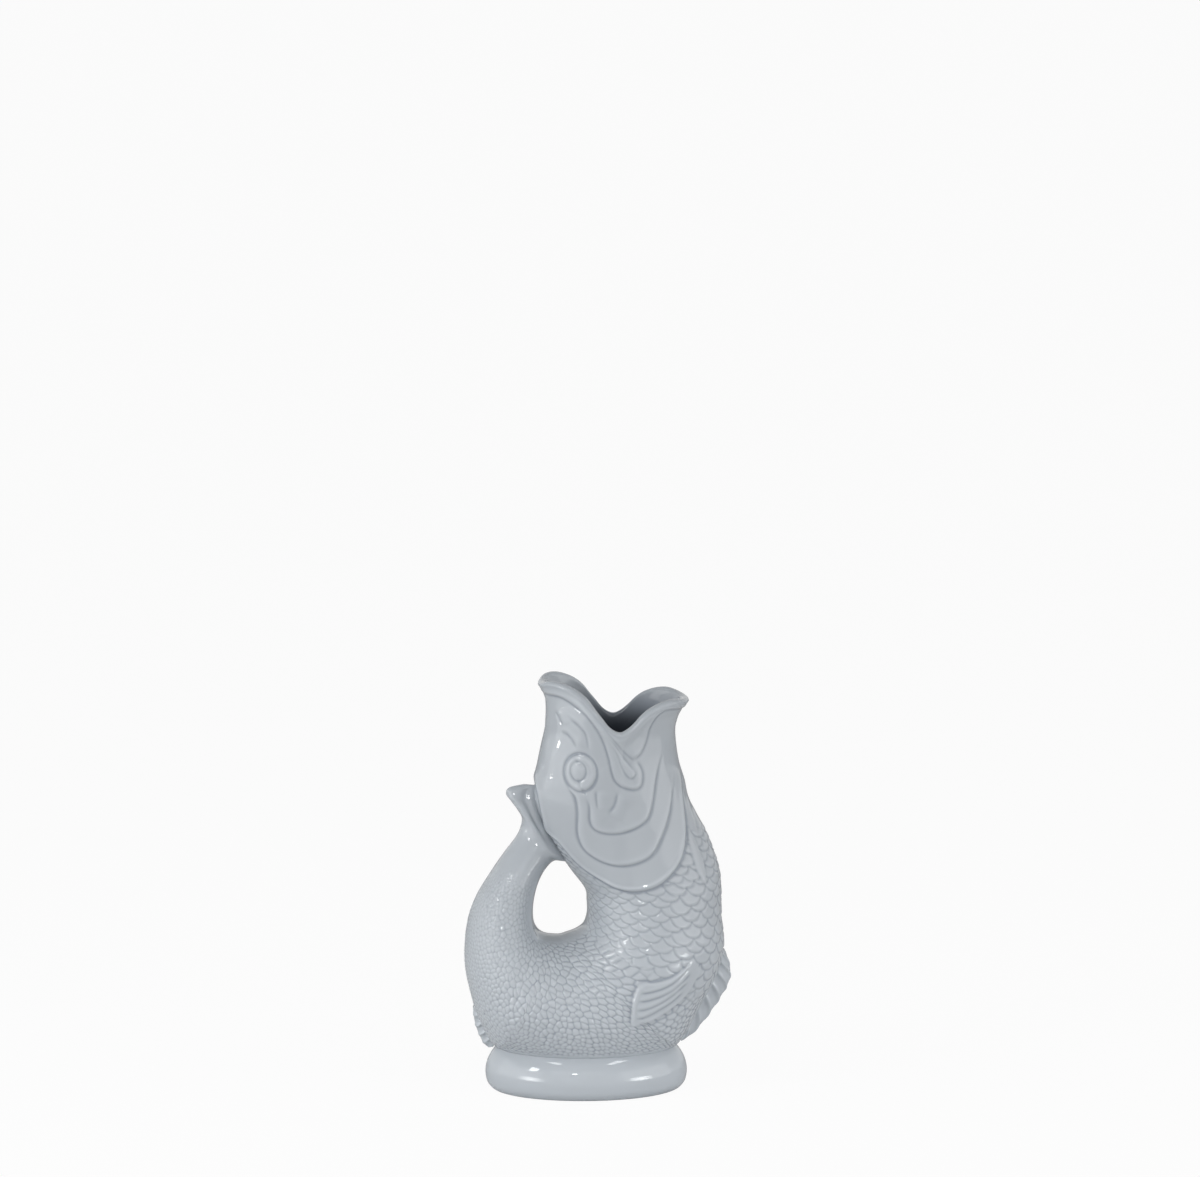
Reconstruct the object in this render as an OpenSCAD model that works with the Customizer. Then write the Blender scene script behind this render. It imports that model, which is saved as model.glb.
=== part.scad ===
// Gurgle jug: a glazed ceramic pouring jug in the shape of a fish that stands on its curled body.
// The mouth is the spout, the throat faces +X, and the hollow tail curls up at -X as the handle.
// Origin: on the table, under the middle of the jug's length. Lengths are in millimetres.

/* [Whole jug] */
// Height from the table to the top of the upper lip
jug_h = 240; // [200:1:290]
// Length of the fish from the tail to the throat, which the side outlines follow
jug_l = 152; // [130:1:180]
// Thickness of the cast wall
wall = 4.5; // [3.5:0.1:6]

/* [Head and mouth] */
// Depth of the head from cheek to cheek
head_d = 70; // [58:1:84]
// How far the lips roll out past the head
lip_roll = 1.2; // [0.4:0.1:2.4]
// Height of the rolled band below the edge of the lips
lip_band = 9; // [5:0.5:14]
// Height of the steps that the cheek folds make
fold_step = 0.9; // [0.5:0.1:1.6]
// Height of the gill cover over the scales
gill_step = 1.3; // [0.8:0.1:2]
// Width of the eye
eye_w = 21; // [16:0.5:26]
// Height of the eye
eye_h = 23; // [18:0.5:28]
// How far the eye stands out
eye_out = 2.2; // [1:0.1:3.5]
// How far the fold at the corner of the mouth stands out
jaw_out = 1.8; // [1:0.1:3]

/* [Body and tail] */
// Greatest depth of the belly from side to side
belly_d = 95; // [84:1:112]

/* [Foot] */
// Length of the crease where the belly meets the foot
crease_l = 104; // [96:1:112]
// Depth of the crease where the belly meets the foot
crease_d = 74; // [66:1:80]
// How far the foot bulges out past the crease
foot_bulge = 6; // [3:0.5:10]
// Height of the foot up to the crease
foot_h = 25; // [18:0.5:32]
// Width of the ring that the jug rests on
rest_w = 7; // [5:0.5:10]
// How far the underside is recessed inside that ring
foot_recess = 2.5; // [1:0.5:4]

/* [Fins] */
// How far the belly fin stands out from the belly
belly_fin_out = 9; // [5:0.5:12]
// Thickness of the belly fin where it grows from the belly
belly_fin_t = 10; // [7:0.5:14]
// Number of ribs in the belly fin
belly_fin_ribs = 10; // [6:1:14]
// How far the small rear fin stands out from the tail root
rear_fin_out = 3.4; // [2:0.2:5]
// Thickness of the small rear fin
rear_fin_t = 7; // [5:0.5:10]
// Number of ribs in the small rear fin
rear_fin_ribs = 5; // [3:1:8]
// Height of a rib over the groove beside it
rib_out = 1.1; // [0.5:0.1:1.8]
// Thickness of the fins that lie on the sides
side_fin_t = 2; // [1.2:0.1:3]
// Number of rays in the fin on each side
side_fin_rays = 4; // [3:1:6]
// Half the thickness of the tail fin where it leaves the tail
tail_fin_half = 13; // [10:0.5:15]

/* [Hidden] */

glaze = [0.66, 0.70, 0.75];
glaze_deep = [0.52, 0.57, 0.63];
glaze_pale = [0.76, 0.79, 0.83];

// Gap that a piece laid on the curved wall keeps from it
seat = 0.3;

// Points round a section of the body, the head, the foot and the tail
body_n = 36;
head_n = 40;
foot_n = 40;
tail_n = 28;
// Rows of points between two stations of the bent body
station_rows = 2;
// Rows of points from the joint of the head up to the lips
head_rows = 12;
// Rows of points round the rolled edge of the lips
lip_rows = 4;

// Shares of jug_l are counted from near the middle of the foot, and the middle of the jug lies
// a little towards the throat from there
middle_share = 0.03986;
function across(share) = (share - middle_share) * jug_l;

// Upright part of the fish, from the chest up to the lips. Each row holds the height as a share
// of jug_h, the back and the throat as shares of jug_l, and half the depth as a share of head_d.
neck_shares = [
    [0.4875, -0.011, 0.505, 0.586], [0.529, -0.059, 0.499, 0.564], [0.575, -0.109, 0.477, 0.543],
    [0.625, -0.155, 0.446, 0.529], [0.667, -0.184, 0.411, 0.521], [0.708, -0.201, 0.382, 0.514],
    [0.75, -0.199, 0.366, 0.507], [0.792, -0.189, 0.346, 0.5], [0.833, -0.176, 0.335, 0.493],
    [0.875, -0.161, 0.331, 0.49], [0.9, -0.158, 0.34, 0.493], [0.925, -0.157, 0.356, 0.493],
    [0.95, -0.16, 0.383, 0.479], [0.975, -0.172, 0.395, 0.46], [1, -0.2, 0.405, 0.44]];
neck_rows = [for (r = neck_shares) [r[0] * jug_h, across(r[1]), across(r[2]), r[3] * head_d]];

// Bent part, round the finger hole. Each row holds a point of the back, which is the edge of the
// hole, and a point of the belly, as shares of jug_l and jug_h, and half the depth of belly_d.
chest_shares = [
    [-0.003, 0.454, 0.507, 0.417, 0.447], [-0.003, 0.423, 0.516, 0.35, 0.468],
    [-0.016, 0.398, 0.492, 0.283, 0.489], [-0.039, 0.385, 0.428, 0.204, 0.5]];
// Where the belly opens into the foot: the edge of the hole, and half the depth
floor_shares = [
    [-0.063, 0.379, 0.5], [-0.083, 0.375, 0.5], [-0.104, 0.371, 0.498],
    [-0.125, 0.371, 0.49], [-0.147, 0.3725, 0.474]];
tail_shares = [
    [-0.17, 0.378, -0.405, 0.158, 0.442], [-0.189, 0.389, -0.444, 0.233, 0.405],
    [-0.203, 0.408, -0.466, 0.3125, 0.358], [-0.2065, 0.435, -0.457, 0.4, 0.305],
    [-0.201, 0.467, -0.424, 0.465, 0.258], [-0.186, 0.502, -0.372, 0.521, 0.216],
    [-0.161, 0.533, -0.316, 0.573, 0.179], [-0.125, 0.555, -0.27, 0.6125, 0.147]];

// Heights at which the head joins the chest, and at which the body starts to bend
head_joint_share = 0.625;
bend_share = 0.4875;
head_joint = head_joint_share * jug_h;
bend_z = bend_share * jug_h;
crease_x_share = -0.005;
crease_x = across(crease_x_share);

// Height of the lips by place: -1 is the lower lip, 1 the upper lip, and the corner lies between
lip_shares = [
    [-1, 0.95], [-0.76, 0.957], [-0.62, 0.953], [-0.5, 0.943], [-0.41, 0.929], [-0.32, 0.91],
    [-0.22, 0.895], [-0.1, 0.8875], [0.06, 0.898], [0.23, 0.923], [0.39, 0.948], [0.51, 0.97],
    [0.64, 0.988], [0.77, 0.9985], [0.89, 0.999], [1, 0.991]];

// Number of the first and last stations where the belly is open to the foot, and of the tail root
first_open_n = 8;
last_open_n = 12;
tail_root_n = 14;
tail_end_n = 20;
open_span = last_open_n - first_open_n;

function mix(a, b, t) = a + (b - a) * t;
function ease(t) = let (u = min(max(t, 0), 1)) u * u * (3 - 2 * u);

// Smooth curve through rows of numbers, a whole number of t at each row
function along(rows, t) =
    let (n = len(rows) - 1, i = max(min(floor(t), n - 1), 0), u = t - i, p = rows[i], q = rows[i + 1],
         before = i > 0 ? rows[i - 1] : 2 * p - q, after = i < n - 1 ? rows[i + 2] : 2 * q - p)
    p + u / 2 * (q - before + u * (2 * before - 5 * p + 4 * q - after
        + u * (3 * (p - q) + after - before)));

// Smooth curve through rows whose first number is a height or place, read at that height or place
function slope(rows, i) =
    let (a = max(i - 1, 0), b = min(i + 1, len(rows) - 1)) (rows[b] - rows[a]) / (rows[b][0] - rows[a][0]);
function row_below(rows, z) = max([0, for (i = [0 : len(rows) - 2]) if (rows[i][0] <= z) i]);
function by_place(rows, z) =
    let (i = row_below(rows, z), p = rows[i], q = rows[i + 1], d = q[0] - p[0],
         u = (z - p[0]) / d, m = slope(rows, i) * d, n = slope(rows, i + 1) * d)
    p + u * (m + u * (3 * (q - p) - 2 * m - n + u * (2 * (p - q) + m + n)));

// Upright part: the section at a height is an oval, and the angle runs from the back
function neck_point(z, angle, inset) =
    let (r = by_place(neck_rows, z), half = (r[2] - r[1]) / 2)
    [(r[1] + r[2]) / 2 - (half - inset) * cos(angle), (r[3] - inset) * sin(angle), z];
function neck_station(z) = let (r = by_place(neck_rows, z)) [r[1], z, r[2], z, r[3]];

// Stations of the bent body: edge of the hole, belly and half depth
function in_sizes(r) = [across(r[0]), r[1] * jug_h, across(r[2]), r[3] * jug_h, r[4] * belly_d];
function crease_point(turn, inset) =
    [crease_x + (crease_l / 2 - inset) * cos(turn), foot_h, (crease_d / 2 - inset) * sin(turn)];
function floor_station(k) =
    let (r = floor_shares[k], c = crease_point(180 * k / open_span, 0))
    [across(r[0]), r[1] * jug_h, c[0], c[1], r[2] * belly_d];
// The tail root keeps its reach past the end of the crease, and this shift fades out up the tail
crease_end_share = -0.347105;
crease_shift = crease_x - crease_l / 2 - across(crease_end_share);
function tail_station(k) =
    let (r = in_sizes(tail_shares[k]), fade = 1 - k / (len(tail_shares) - 1))
    [r[0], r[1], r[2] + crease_shift * fade, r[3], r[4]];
stations = concat(
    [for (k = [0 : 3]) neck_station(mix(head_joint, bend_z, k / 3))],
    [for (r = chest_shares) in_sizes(r)],
    [for (k = [0 : open_span]) floor_station(k)],
    [for (k = [0 : len(tail_shares) - 1]) tail_station(k)]);

// One section of the bent body: the edge of the hole, the belly, half the depth, and half the
// width of the opening into the foot, with the wall taken off where inset says so
function section(t, inset) =
    let (s = along(stations, t), back = [s[0], s[1]], belly = [s[2], s[3]],
         turn = 180 * min(max((t - first_open_n) / open_span, 0), 1),
         open = t >= first_open_n && t <= last_open_n, foot_end = crease_point(turn, inset),
         way = (belly - back) / norm(belly - back),
         near_foot = ease(1 - max(first_open_n - t, t - last_open_n, 0)),
         side = t < (first_open_n + last_open_n) / 2 ? 1 : -1,
         inward = mix(way, [side, 0], near_foot),
         end = open ? [foot_end[0], foot_end[1]] : belly - inset * inward / norm(inward))
    [back + inset * way, end, s[4] - inset, open ? foot_end[2] : 0];
// A point of that section: share runs from -1 to 1, round from the foot side to the foot side
function section_point(s, share) =
    let (last = 180 - asin(s[3] / s[2]), a = last * share, way = (1 - cos(a)) / (1 - cos(last)),
         p = mix(s[0], s[1], way))
    [p[0], -s[2] * sin(a), p[1]];
function section_ring(t, inset, n) =
    let (s = section(t, inset)) [for (j = [0 : n]) section_point(s, 2 * j / n - 1)];

// Depth of the outer skin at a point of the side view. In the bent part, the station whose section
// passes through the point is found by halving.
function side_of(t, p) = let (s = section(t, 0)) cross(s[1] - s[0], p - s[0]);
function find_station(p, low, high, left) =
    let (t = (low + high) / 2) left == 0 ? t
    : side_of(t, p) < 0 ? find_station(p, t, high, left - 1) : find_station(p, low, t, left - 1);
function bend_depth(p) =
    let (s = section(find_station(p, 3, 13, 18), 0), way = norm(p - s[0]) / norm(s[1] - s[0]),
         last = 180 - asin(s[3] / s[2]), c = 1 - way * (1 - cos(last)))
    s[2] * sqrt(max(0, 1 - c * c));
function neck_depth(p) =
    let (r = by_place(neck_rows, p[1]), c = (p[0] - (r[1] + r[2]) / 2) / ((r[2] - r[1]) / 2))
    r[3] * sqrt(max(0, 1 - c * c));
function skin_depth(p) = p[1] >= bend_z ? neck_depth(p) : bend_depth(p);
// A point over the skin of the near side, and which way the skin faces there
function over_skin(p, out) =
    let (e = wall / 4, d = skin_depth(p), gx = (skin_depth(p + [e, 0]) - skin_depth(p - [e, 0])) / (2 * e),
         gz = (skin_depth(p + [0, e]) - skin_depth(p - [0, e])) / (2 * e), n = [-gx, -1, -gz])
    [p[0], -d, p[1]] + out * n / norm(n);

// Faces of a grid of rows, each a closed ring of n points. With wrap, the last row joins the first.
function grid_faces(rows, n, wrap) =
    [for (i = [0 : rows - (wrap ? 1 : 2)], j = [0 : n - 1])
        let (a = i * n + j, b = i * n + (j + 1) % n, k = (i + 1) % rows, c = k * n + (j + 1) % n,
             d = k * n + j)
        each [[a, b, c], [a, c, d]]];
// A solid from rings: closed end to end as a tube wall, or with its first and last rings filled in
module ring_solid(rings, wrap = false) {
    n = len(rings[0]);
    m = len(rings);
    caps = wrap ? [] : [[for (j = [n - 1 : -1 : 0]) j], [for (j = [0 : n - 1]) (m - 1) * n + j]];
    polyhedron(points = [for (r = rings) each r], faces = concat(grid_faces(m, n, wrap), caps));
}

// Foot: an oval dish with a soft bulge, a ring to rest on and a recessed underside.
// Each row holds the bulge as a share of foot_bulge and the height as a share of foot_h.
bulge_shares = [[-0.2, 0], [0.42, 0.05], [0.84, 0.18], [1, 0.38], [0.97, 0.53], [0.74, 0.7], [0.38, 0.85], [0, 1]];
function oval_ring(out, z) =
    [for (j = [0 : foot_n - 1]) let (a = 360 * j / foot_n)
        [crease_x + (crease_l / 2 + out) * cos(a), (crease_d / 2 + out) * sin(a), z]];
module foot() {
    rest_in = bulge_shares[0][0] * foot_bulge - rest_w;
    floor_z = foot_recess + wall;
    outer = [for (r = bulge_shares) oval_ring(r[0] * foot_bulge, r[1] * foot_h)];
    inner = [for (k = [len(bulge_shares) - 1 : -1 : 3]) let (r = bulge_shares[k])
        oval_ring(r[0] * foot_bulge - wall, r[1] * foot_h)];
    color(glaze)
        ring_solid(concat([oval_ring(rest_in - foot_recess, foot_recess), oval_ring(rest_in, 0)],
            outer, inner, [oval_ring(-wall - foot_recess, floor_z)]));
}

// Body: the two-rail loft from the chest round under the finger hole, open into the foot
module body_shell() {
    n = body_n;
    steps = tail_root_n * station_rows;
    rings = concat(
        [for (i = [0 : steps]) section_ring(i / station_rows, 0, n)],
        [for (i = [0 : steps]) section_ring(i / station_rows, wall, n)]);
    inner = steps + 1;
    function is_open(i) = i > first_open_n * station_rows && i < last_open_n * station_rows;
    function id(row, j) = row * (n + 1) + (j == n && !is_open(row % inner) ? 0 : j);
    function quad(a, b, c, d) = [[a, b, c], [a, c, d]];
    skins = [for (i = [0 : steps - 1], j = [0 : n - 1]) each concat(
        quad(id(i, j), id(i, j + 1), id(i + 1, j + 1), id(i + 1, j)),
        quad(id(inner + i, j), id(inner + i + 1, j), id(inner + i + 1, j + 1), id(inner + i, j + 1)))];
    ends = [for (j = [0 : n - 1]) each concat(
        quad(id(0, j), id(inner, j), id(inner, j + 1), id(0, j + 1)),
        quad(id(steps, j), id(steps, j + 1), id(inner + steps, j + 1), id(inner + steps, j)))];
    rim = [for (i = [0 : steps - 1]) if (is_open(i) || is_open(i + 1)) each concat(
        quad(id(i, 0), id(i + 1, 0), id(inner + i + 1, 0), id(inner + i, 0)),
        quad(id(i, n), id(inner + i, n), id(inner + i + 1, n), id(i + 1, n)))];
    color(glaze)
        polyhedron(points = [for (r = rings) each r], faces = concat(skins, ends, rim));
}

// Head: upright ovals up to a saddle-shaped mouth with a rolled, rounded lip
function lip_z(angle) = by_place([for (r = lip_shares) [r[0], r[1] * jug_h]], cos(angle))[1];
function head_point(angle, k, inset) =
    let (top = lip_z(angle) - wall / 2, z = mix(head_joint, top, k),
         roll = inset == 0 ? lip_roll * ease(1 - (top - z) / lip_band) : 0)
    neck_point(z, angle, inset - roll);
function lip_point(angle, k) =
    let (top = lip_z(angle), turn = 180 * k, half = (wall + lip_roll) / 2,
         p = neck_point(top - wall / 2, angle, half - lip_roll - half * cos(turn)))
    [p[0], p[1], top - wall / 2 + wall / 2 * sin(turn)];
module head_shell() {
    angles = [for (j = [0 : head_n - 1]) -360 * j / head_n];
    rise = [for (k = [0 : head_rows]) 1 - pow(1 - k / head_rows, 1.3)];
    outer = [for (k = rise) [for (a = angles) head_point(a, k, 0)]];
    lip = [for (k = [1 : lip_rows - 1]) [for (a = angles) lip_point(a, k / lip_rows)]];
    inner = [for (i = [head_rows : -1 : 0]) [for (a = angles) head_point(a, rise[i], wall)]];
    color(glaze) ring_solid(concat(outer, lip, inner), wrap = true);
}

// Tail: the hollow handle, from its root in the belly to its blind end above the hole
module tail_handle() {
    steps = (tail_end_n - tail_root_n) * station_rows;
    function ring(i, inset) =
        let (r = section_ring(tail_root_n + i / station_rows, inset, tail_n)) [for (j = [0 : tail_n - 1]) r[j]];
    color(glaze)
        ring_solid(concat([for (i = [steps - 1 : -1 : 0]) ring(i, wall)], [for (i = [0 : steps]) ring(i, 0)]));
}

// Tail fin: lies against the back of the head. Each row holds the height of its seat as a share of
// jug_h, its outer edge as shares of jug_l and jug_h, and half its thickness as a share.
tail_fin_shares = [
    [0.535, -0.27, 0.6125, 1], [0.583, -0.251, 0.637, 0.9], [0.625, -0.25, 0.66, 0.77],
    [0.658, -0.266, 0.681, 0.63], [0.688, -0.289, 0.7, 0.5], [0.712, -0.308, 0.719, 0.38],
    [0.729, -0.293, 0.733, 0.3], [0.741, -0.24, 0.741, 0.2]];
tail_fin_ways = [0.25, 0.5, 0.72, 0.88, 1];
seat_sides = [-1, -0.5, 0, 0.5, 1];
function seat_point(edge, rise, y, z, left) =
    let (x = neck_point(z, asin(y / by_place(neck_rows, z)[3]), 0)[0] - seat)
    left == 0 ? [x, y, edge[1] + rise * (x - edge[0])]
    : seat_point(edge, rise, y, edge[1] + rise * (x - edge[0]), left - 1);
function tail_fin_ring(r) =
    let (half = r[3] * tail_fin_half, edge = [across(r[1]), r[2] * jug_h], z = r[0] * jug_h,
         back = [by_place(neck_rows, z)[1], z], rise = (back[1] - edge[1]) / (back[0] - edge[0]),
         seats = [for (s = seat_sides) seat_point(edge, rise, s * half, z, 6)], last = len(seats) - 1,
         tip = [edge[0], 0, edge[1]], ways = [for (w = tail_fin_ways) w],
         side = function (from, w) let (p = mix(from, tip, w)) [p[0], from[1] * sqrt(1 - w * w), p[2]])
    concat(seats, [for (w = ways) side(seats[last], w)], [for (k = [3 : -1 : 0]) side(seats[0], ways[k])]);
module tail_fin() {
    color(glaze_pale) ring_solid([for (r = tail_fin_shares) tail_fin_ring(r)]);
}

// Relief laid on the skin of one side: rings about a centre, each with its outline and its height
under_shares = [1, 0.86, 0.7, 0.5, 0.25];
module relief(centre, outlines, heights) {
    n = len(outlines[0]);
    m = len(outlines);
    c = over_skin(centre, heights[0]);
    base = over_skin(centre, seat);
    top = [for (i = [0 : m - 1]) [for (p = outlines[i]) over_skin(p, heights[i + 1])]];
    under = [for (k = under_shares) [for (p = outlines[m - 1]) over_skin(mix(centre, p, k), seat)]];
    rings = concat(top, under);
    last = len(rings) - 1;
    points = concat([for (r = rings) each r], [c, base]);
    hub = (last + 1) * n;
    faces = concat(
        [for (i = [0 : last - 1], j = [0 : n - 1]) let (k = (j + 1) % n)
            each [[i * n + j, (i + 1) * n + j, (i + 1) * n + k], [i * n + j, (i + 1) * n + k, i * n + k]]],
        [for (j = [0 : n - 1]) [hub, j, (j + 1) % n]],
        [for (j = [0 : n - 1]) [hub + 1, last * n + (j + 1) % n, last * n + j]]);
    polyhedron(points = points, faces = faces);
}
// The same piece on both sides of the fish
module both_sides() {
    children();
    mirror([0, 1, 0]) children();
}
function in_side_view(shares) = [for (p = shares) [across(p[0]), p[1] * jug_h]];
// Closed smooth outline of n points through a few corners, and an oval
function closed_outline(corners, n) =
    let (m = len(corners), loop = [for (i = [-1 : m + 1]) corners[(i + m) % m]])
    [for (j = [0 : n - 1]) along(loop, 1 + m * j / n)];
function oval(centre, w, h, n) =
    [for (j = [0 : n - 1]) let (a = 360 * j / n) centre + [w / 2 * cos(a), h / 2 * sin(a)]];

// Gill covers: three stepped plates on each cheek, the lowest edge standing over the scales
gill_n = 32;
gill_centre_share = [0.13, 0.68];
gill_shares = [
    [-0.135, 0.645], [-0.085, 0.6], [-0.03, 0.562], [0.04, 0.531], [0.115, 0.508], [0.185, 0.501],
    [0.25, 0.511], [0.305, 0.54], [0.34, 0.58], [0.35, 0.64], [0.34, 0.71], [0.322, 0.775],
    [0.24, 0.775], [0.13, 0.75], [0, 0.735], [-0.1, 0.71]];
outer_fold_shares = [
    [-0.04, 0.7], [-0.045, 0.655], [-0.035, 0.61], [0, 0.578], [0.06, 0.56], [0.12, 0.557],
    [0.19, 0.565], [0.24, 0.585], [0.27, 0.62], [0.285, 0.665], [0.29, 0.715], [0.29, 0.755],
    [0.22, 0.755], [0.13, 0.735], [0.04, 0.73], [-0.02, 0.725]];
inner_fold_shares = [
    [0.012, 0.71], [0.012, 0.675], [0.025, 0.648], [0.06, 0.632], [0.1, 0.626], [0.14, 0.628],
    [0.18, 0.637], [0.21, 0.653], [0.225, 0.675], [0.235, 0.7], [0.24, 0.725], [0.235, 0.742],
    [0.19, 0.74], [0.13, 0.728], [0.07, 0.722], [0.03, 0.722]];
fold_spread_share = 0.94;
module gill_covers() {
    centre = in_side_view([gill_centre_share])[0];
    gill = closed_outline(in_side_view(gill_shares), gill_n);
    outer_fold = closed_outline(in_side_view(outer_fold_shares), gill_n);
    inner_fold = closed_outline(in_side_view(inner_fold_shares), gill_n);
    function shrink(outline) = [for (p = outline) mix(centre, p, fold_spread_share)];
    function part_way(a, b, k) = [for (j = [0 : gill_n - 1]) mix(a[j], b[j], k)];
    low = seat + gill_step;
    mid = low + fold_step;
    high = mid + fold_step;
    color(glaze) both_sides()
        relief(centre,
            [part_way(shrink(inner_fold), [for (p = gill) centre], 1 / 2), shrink(inner_fold), inner_fold,
             shrink(outer_fold), outer_fold, part_way(outer_fold, gill, 1 / 3), part_way(outer_fold, gill, 2 / 3),
             shrink(gill), gill],
            [high, high, high, mid, mid, low, low, low, low, low - gill_step / 2]);
}

// Eyes: a rolled rim, a groove and a domed pupil
eye_n = 20;
eye_centre_share = [-0.036, 0.789];
eye_ring_shares = [0.38, 0.5, 0.66, 0.86, 1];
eye_height_shares = [0.85, 0.7, 0.25, 1, 0.8, 0.1];
module eyes() {
    centre = in_side_view([eye_centre_share])[0];
    color(glaze_pale) both_sides()
        relief(centre, [for (k = eye_ring_shares) oval(centre, k * eye_w, k * eye_h, eye_n)],
            [for (k = eye_height_shares) seat + k * eye_out]);
}

// Jaw folds: the looped fold of skin at each corner of the mouth
jaw_n = 20;
jaw_centre_share = [0.148, 0.8];
jaw_loop_shares = [
    [0.05, 0.872], [0.066, 0.845], [0.085, 0.81], [0.105, 0.785], [0.14, 0.77], [0.175, 0.77],
    [0.19, 0.79], [0.175, 0.82], [0.15, 0.842], [0.11, 0.862]];
jaw_drop_shares = [
    [0.108, 0.838], [0.115, 0.825], [0.125, 0.808], [0.14, 0.796], [0.155, 0.793], [0.163, 0.8],
    [0.158, 0.812], [0.145, 0.825], [0.13, 0.838], [0.115, 0.846]];
module jaw_folds() {
    centre = in_side_view([jaw_centre_share])[0];
    loop = closed_outline(in_side_view(jaw_loop_shares), jaw_n);
    drop = closed_outline(in_side_view(jaw_drop_shares), jaw_n);
    function part_way(k) = [for (j = [0 : jaw_n - 1]) mix(drop[j], loop[j], k)];
    color(glaze_pale) both_sides()
        relief(centre, [part_way(-0.3), part_way(0), part_way(0.25), part_way(0.75), part_way(1)],
            [for (k = [0.7, 0.7, 0.3, 1, 0.8, 0.1]) seat + k * jaw_out]);
}

// Fins on the sides: a sheet of rays between an upper and a lower edge
fin_rows = 7;
ray_points = 3;
module ray_fin(upper_shares, lower_shares, rays, thickness) {
    upper = in_side_view(upper_shares);
    lower = in_side_view(lower_shares);
    nu = fin_rows;
    nv = rays * ray_points;
    function place(i, j) = mix(along(upper, (len(upper) - 1) * i / nu), along(lower, (len(lower) - 1) * i / nu), j / nv);
    function ray(i, j) =
        let (edge = j == 0 || j == nv ? 0.4 : 1, fade = 1 - 0.55 * i / nu)
        seat + thickness * edge * fade - rib_out * fade * (1 - cos(360 * rays * j / nv)) / 2 * (j == 0 || j == nv ? 0 : 1);
    top = [for (i = [0 : nu]) [for (j = [0 : nv]) over_skin(place(i, j), ray(i, j))]];
    under = [for (i = [0 : nu]) [for (j = [nv : -1 : 0]) over_skin(place(i, j), seat)]];
    rings = [for (i = [0 : nu]) concat(top[i], under[i])];
    n = len(rings[0]);
    function strip(i) = [for (j = [0 : nv - 1]) each [[i * n + j, i * n + j + 1, i * n + n - 2 - j],
        [i * n + j, i * n + n - 2 - j, i * n + n - 1 - j]]];
    polyhedron(points = [for (r = rings) each r],
        faces = concat([for (f = grid_faces(nu + 1, n, false)) [f[2], f[1], f[0]]],
            strip(0), [for (f = strip(nu)) [f[2], f[1], f[0]]]));
}
pectoral_upper_shares = [[0.178, 0.281], [0.235, 0.29], [0.29, 0.297], [0.34, 0.315], [0.386, 0.345]];
pectoral_lower_shares = [[0.155, 0.187], [0.22, 0.196], [0.29, 0.215], [0.355, 0.25], [0.412, 0.317]];
module pectoral_fins() {
    color(glaze_pale) both_sides()
        ray_fin(pectoral_upper_shares, pectoral_lower_shares, side_fin_rays, side_fin_t);
}
throat_upper_shares = [[0.38, 0.64], [0.415, 0.61], [0.44, 0.57], [0.452, 0.53]];
throat_lower_shares = [[0.37, 0.632], [0.385, 0.59], [0.405, 0.55], [0.435, 0.51]];
throat_fin_rays = 2;
module throat_fins() {
    color(glaze_pale) both_sides()
        ray_fin(throat_upper_shares, throat_lower_shares, throat_fin_rays, side_fin_t * 3 / 4);
}

// Frills on the belly edge: a thick root, a thin wavy edge and slanted ribs on both faces.
// Each row holds the station and how far the edge stands out, as a share.
frill_sides = [-1, -0.9, -0.6];
module frill(reach_shares, out, thickness, ribs) {
    rings = ribs * 4;
    first = reach_shares[0][0];
    span = reach_shares[len(reach_shares) - 1][0] - first;
    function frill_ring(i) =
        let (t = first + span * i / rings, s = section(t, 0), way = (s[1] - s[0]) / norm(s[1] - s[0]),
             reach = out * by_place(reach_shares, t)[1], wave = cos(360 * ribs * i / rings),
             half = thickness / 2 + rib_out / 2 * wave,
             point = function (k, w) let (p = s[1] + way * (seat + reach * k)) [p[0], w, p[1]])
        [point(0, -half), point(0.5, -half * 0.7), point(1 + 0.05 * wave, -half * 0.35),
         point(1 + 0.05 * wave, half * 0.35), point(0.5, half * 0.7), point(0, half)];
    ring_solid([for (i = [0 : rings]) frill_ring(i)]);
}
belly_fin_reach_shares = [[5.25, 0.1], [5.7, 0.6], [6.1, 0.95], [6.6, 1], [7.1, 0.95], [7.5, 0.8], [7.85, 0.35]];
rear_fin_reach_shares = [[12.15, 0.4], [12.4, 1], [12.7, 0.95], [13, 0.6], [13.3, 0.15]];
module belly_fin() {
    color(glaze_pale) frill(belly_fin_reach_shares, belly_fin_out, belly_fin_t, belly_fin_ribs);
}
module rear_fin() {
    color(glaze_pale) frill(rear_fin_reach_shares, rear_fin_out, rear_fin_t, rear_fin_ribs);
}

foot();
body_shell();
head_shell();
tail_handle();
tail_fin();
gill_covers();
eyes();
jaw_folds();
pectoral_fins();
throat_fins();
belly_fin();
rear_fin();
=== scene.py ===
"""Gurgle jug in glazed ceramic: the looks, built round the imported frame.

The skin of the fish is one surface with two parameters, a place along the fish and a share of the
way round its section. Scales, folds, eyes and fin rays stand out of it as heights, worked out for
whole arrays of points, so every visible form is in the mesh. Sizes are in millimetres, and
make_mesh turns them into metres.
"""
import math

import bpy
import numpy as np
from mathutils import Matrix, Vector


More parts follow.
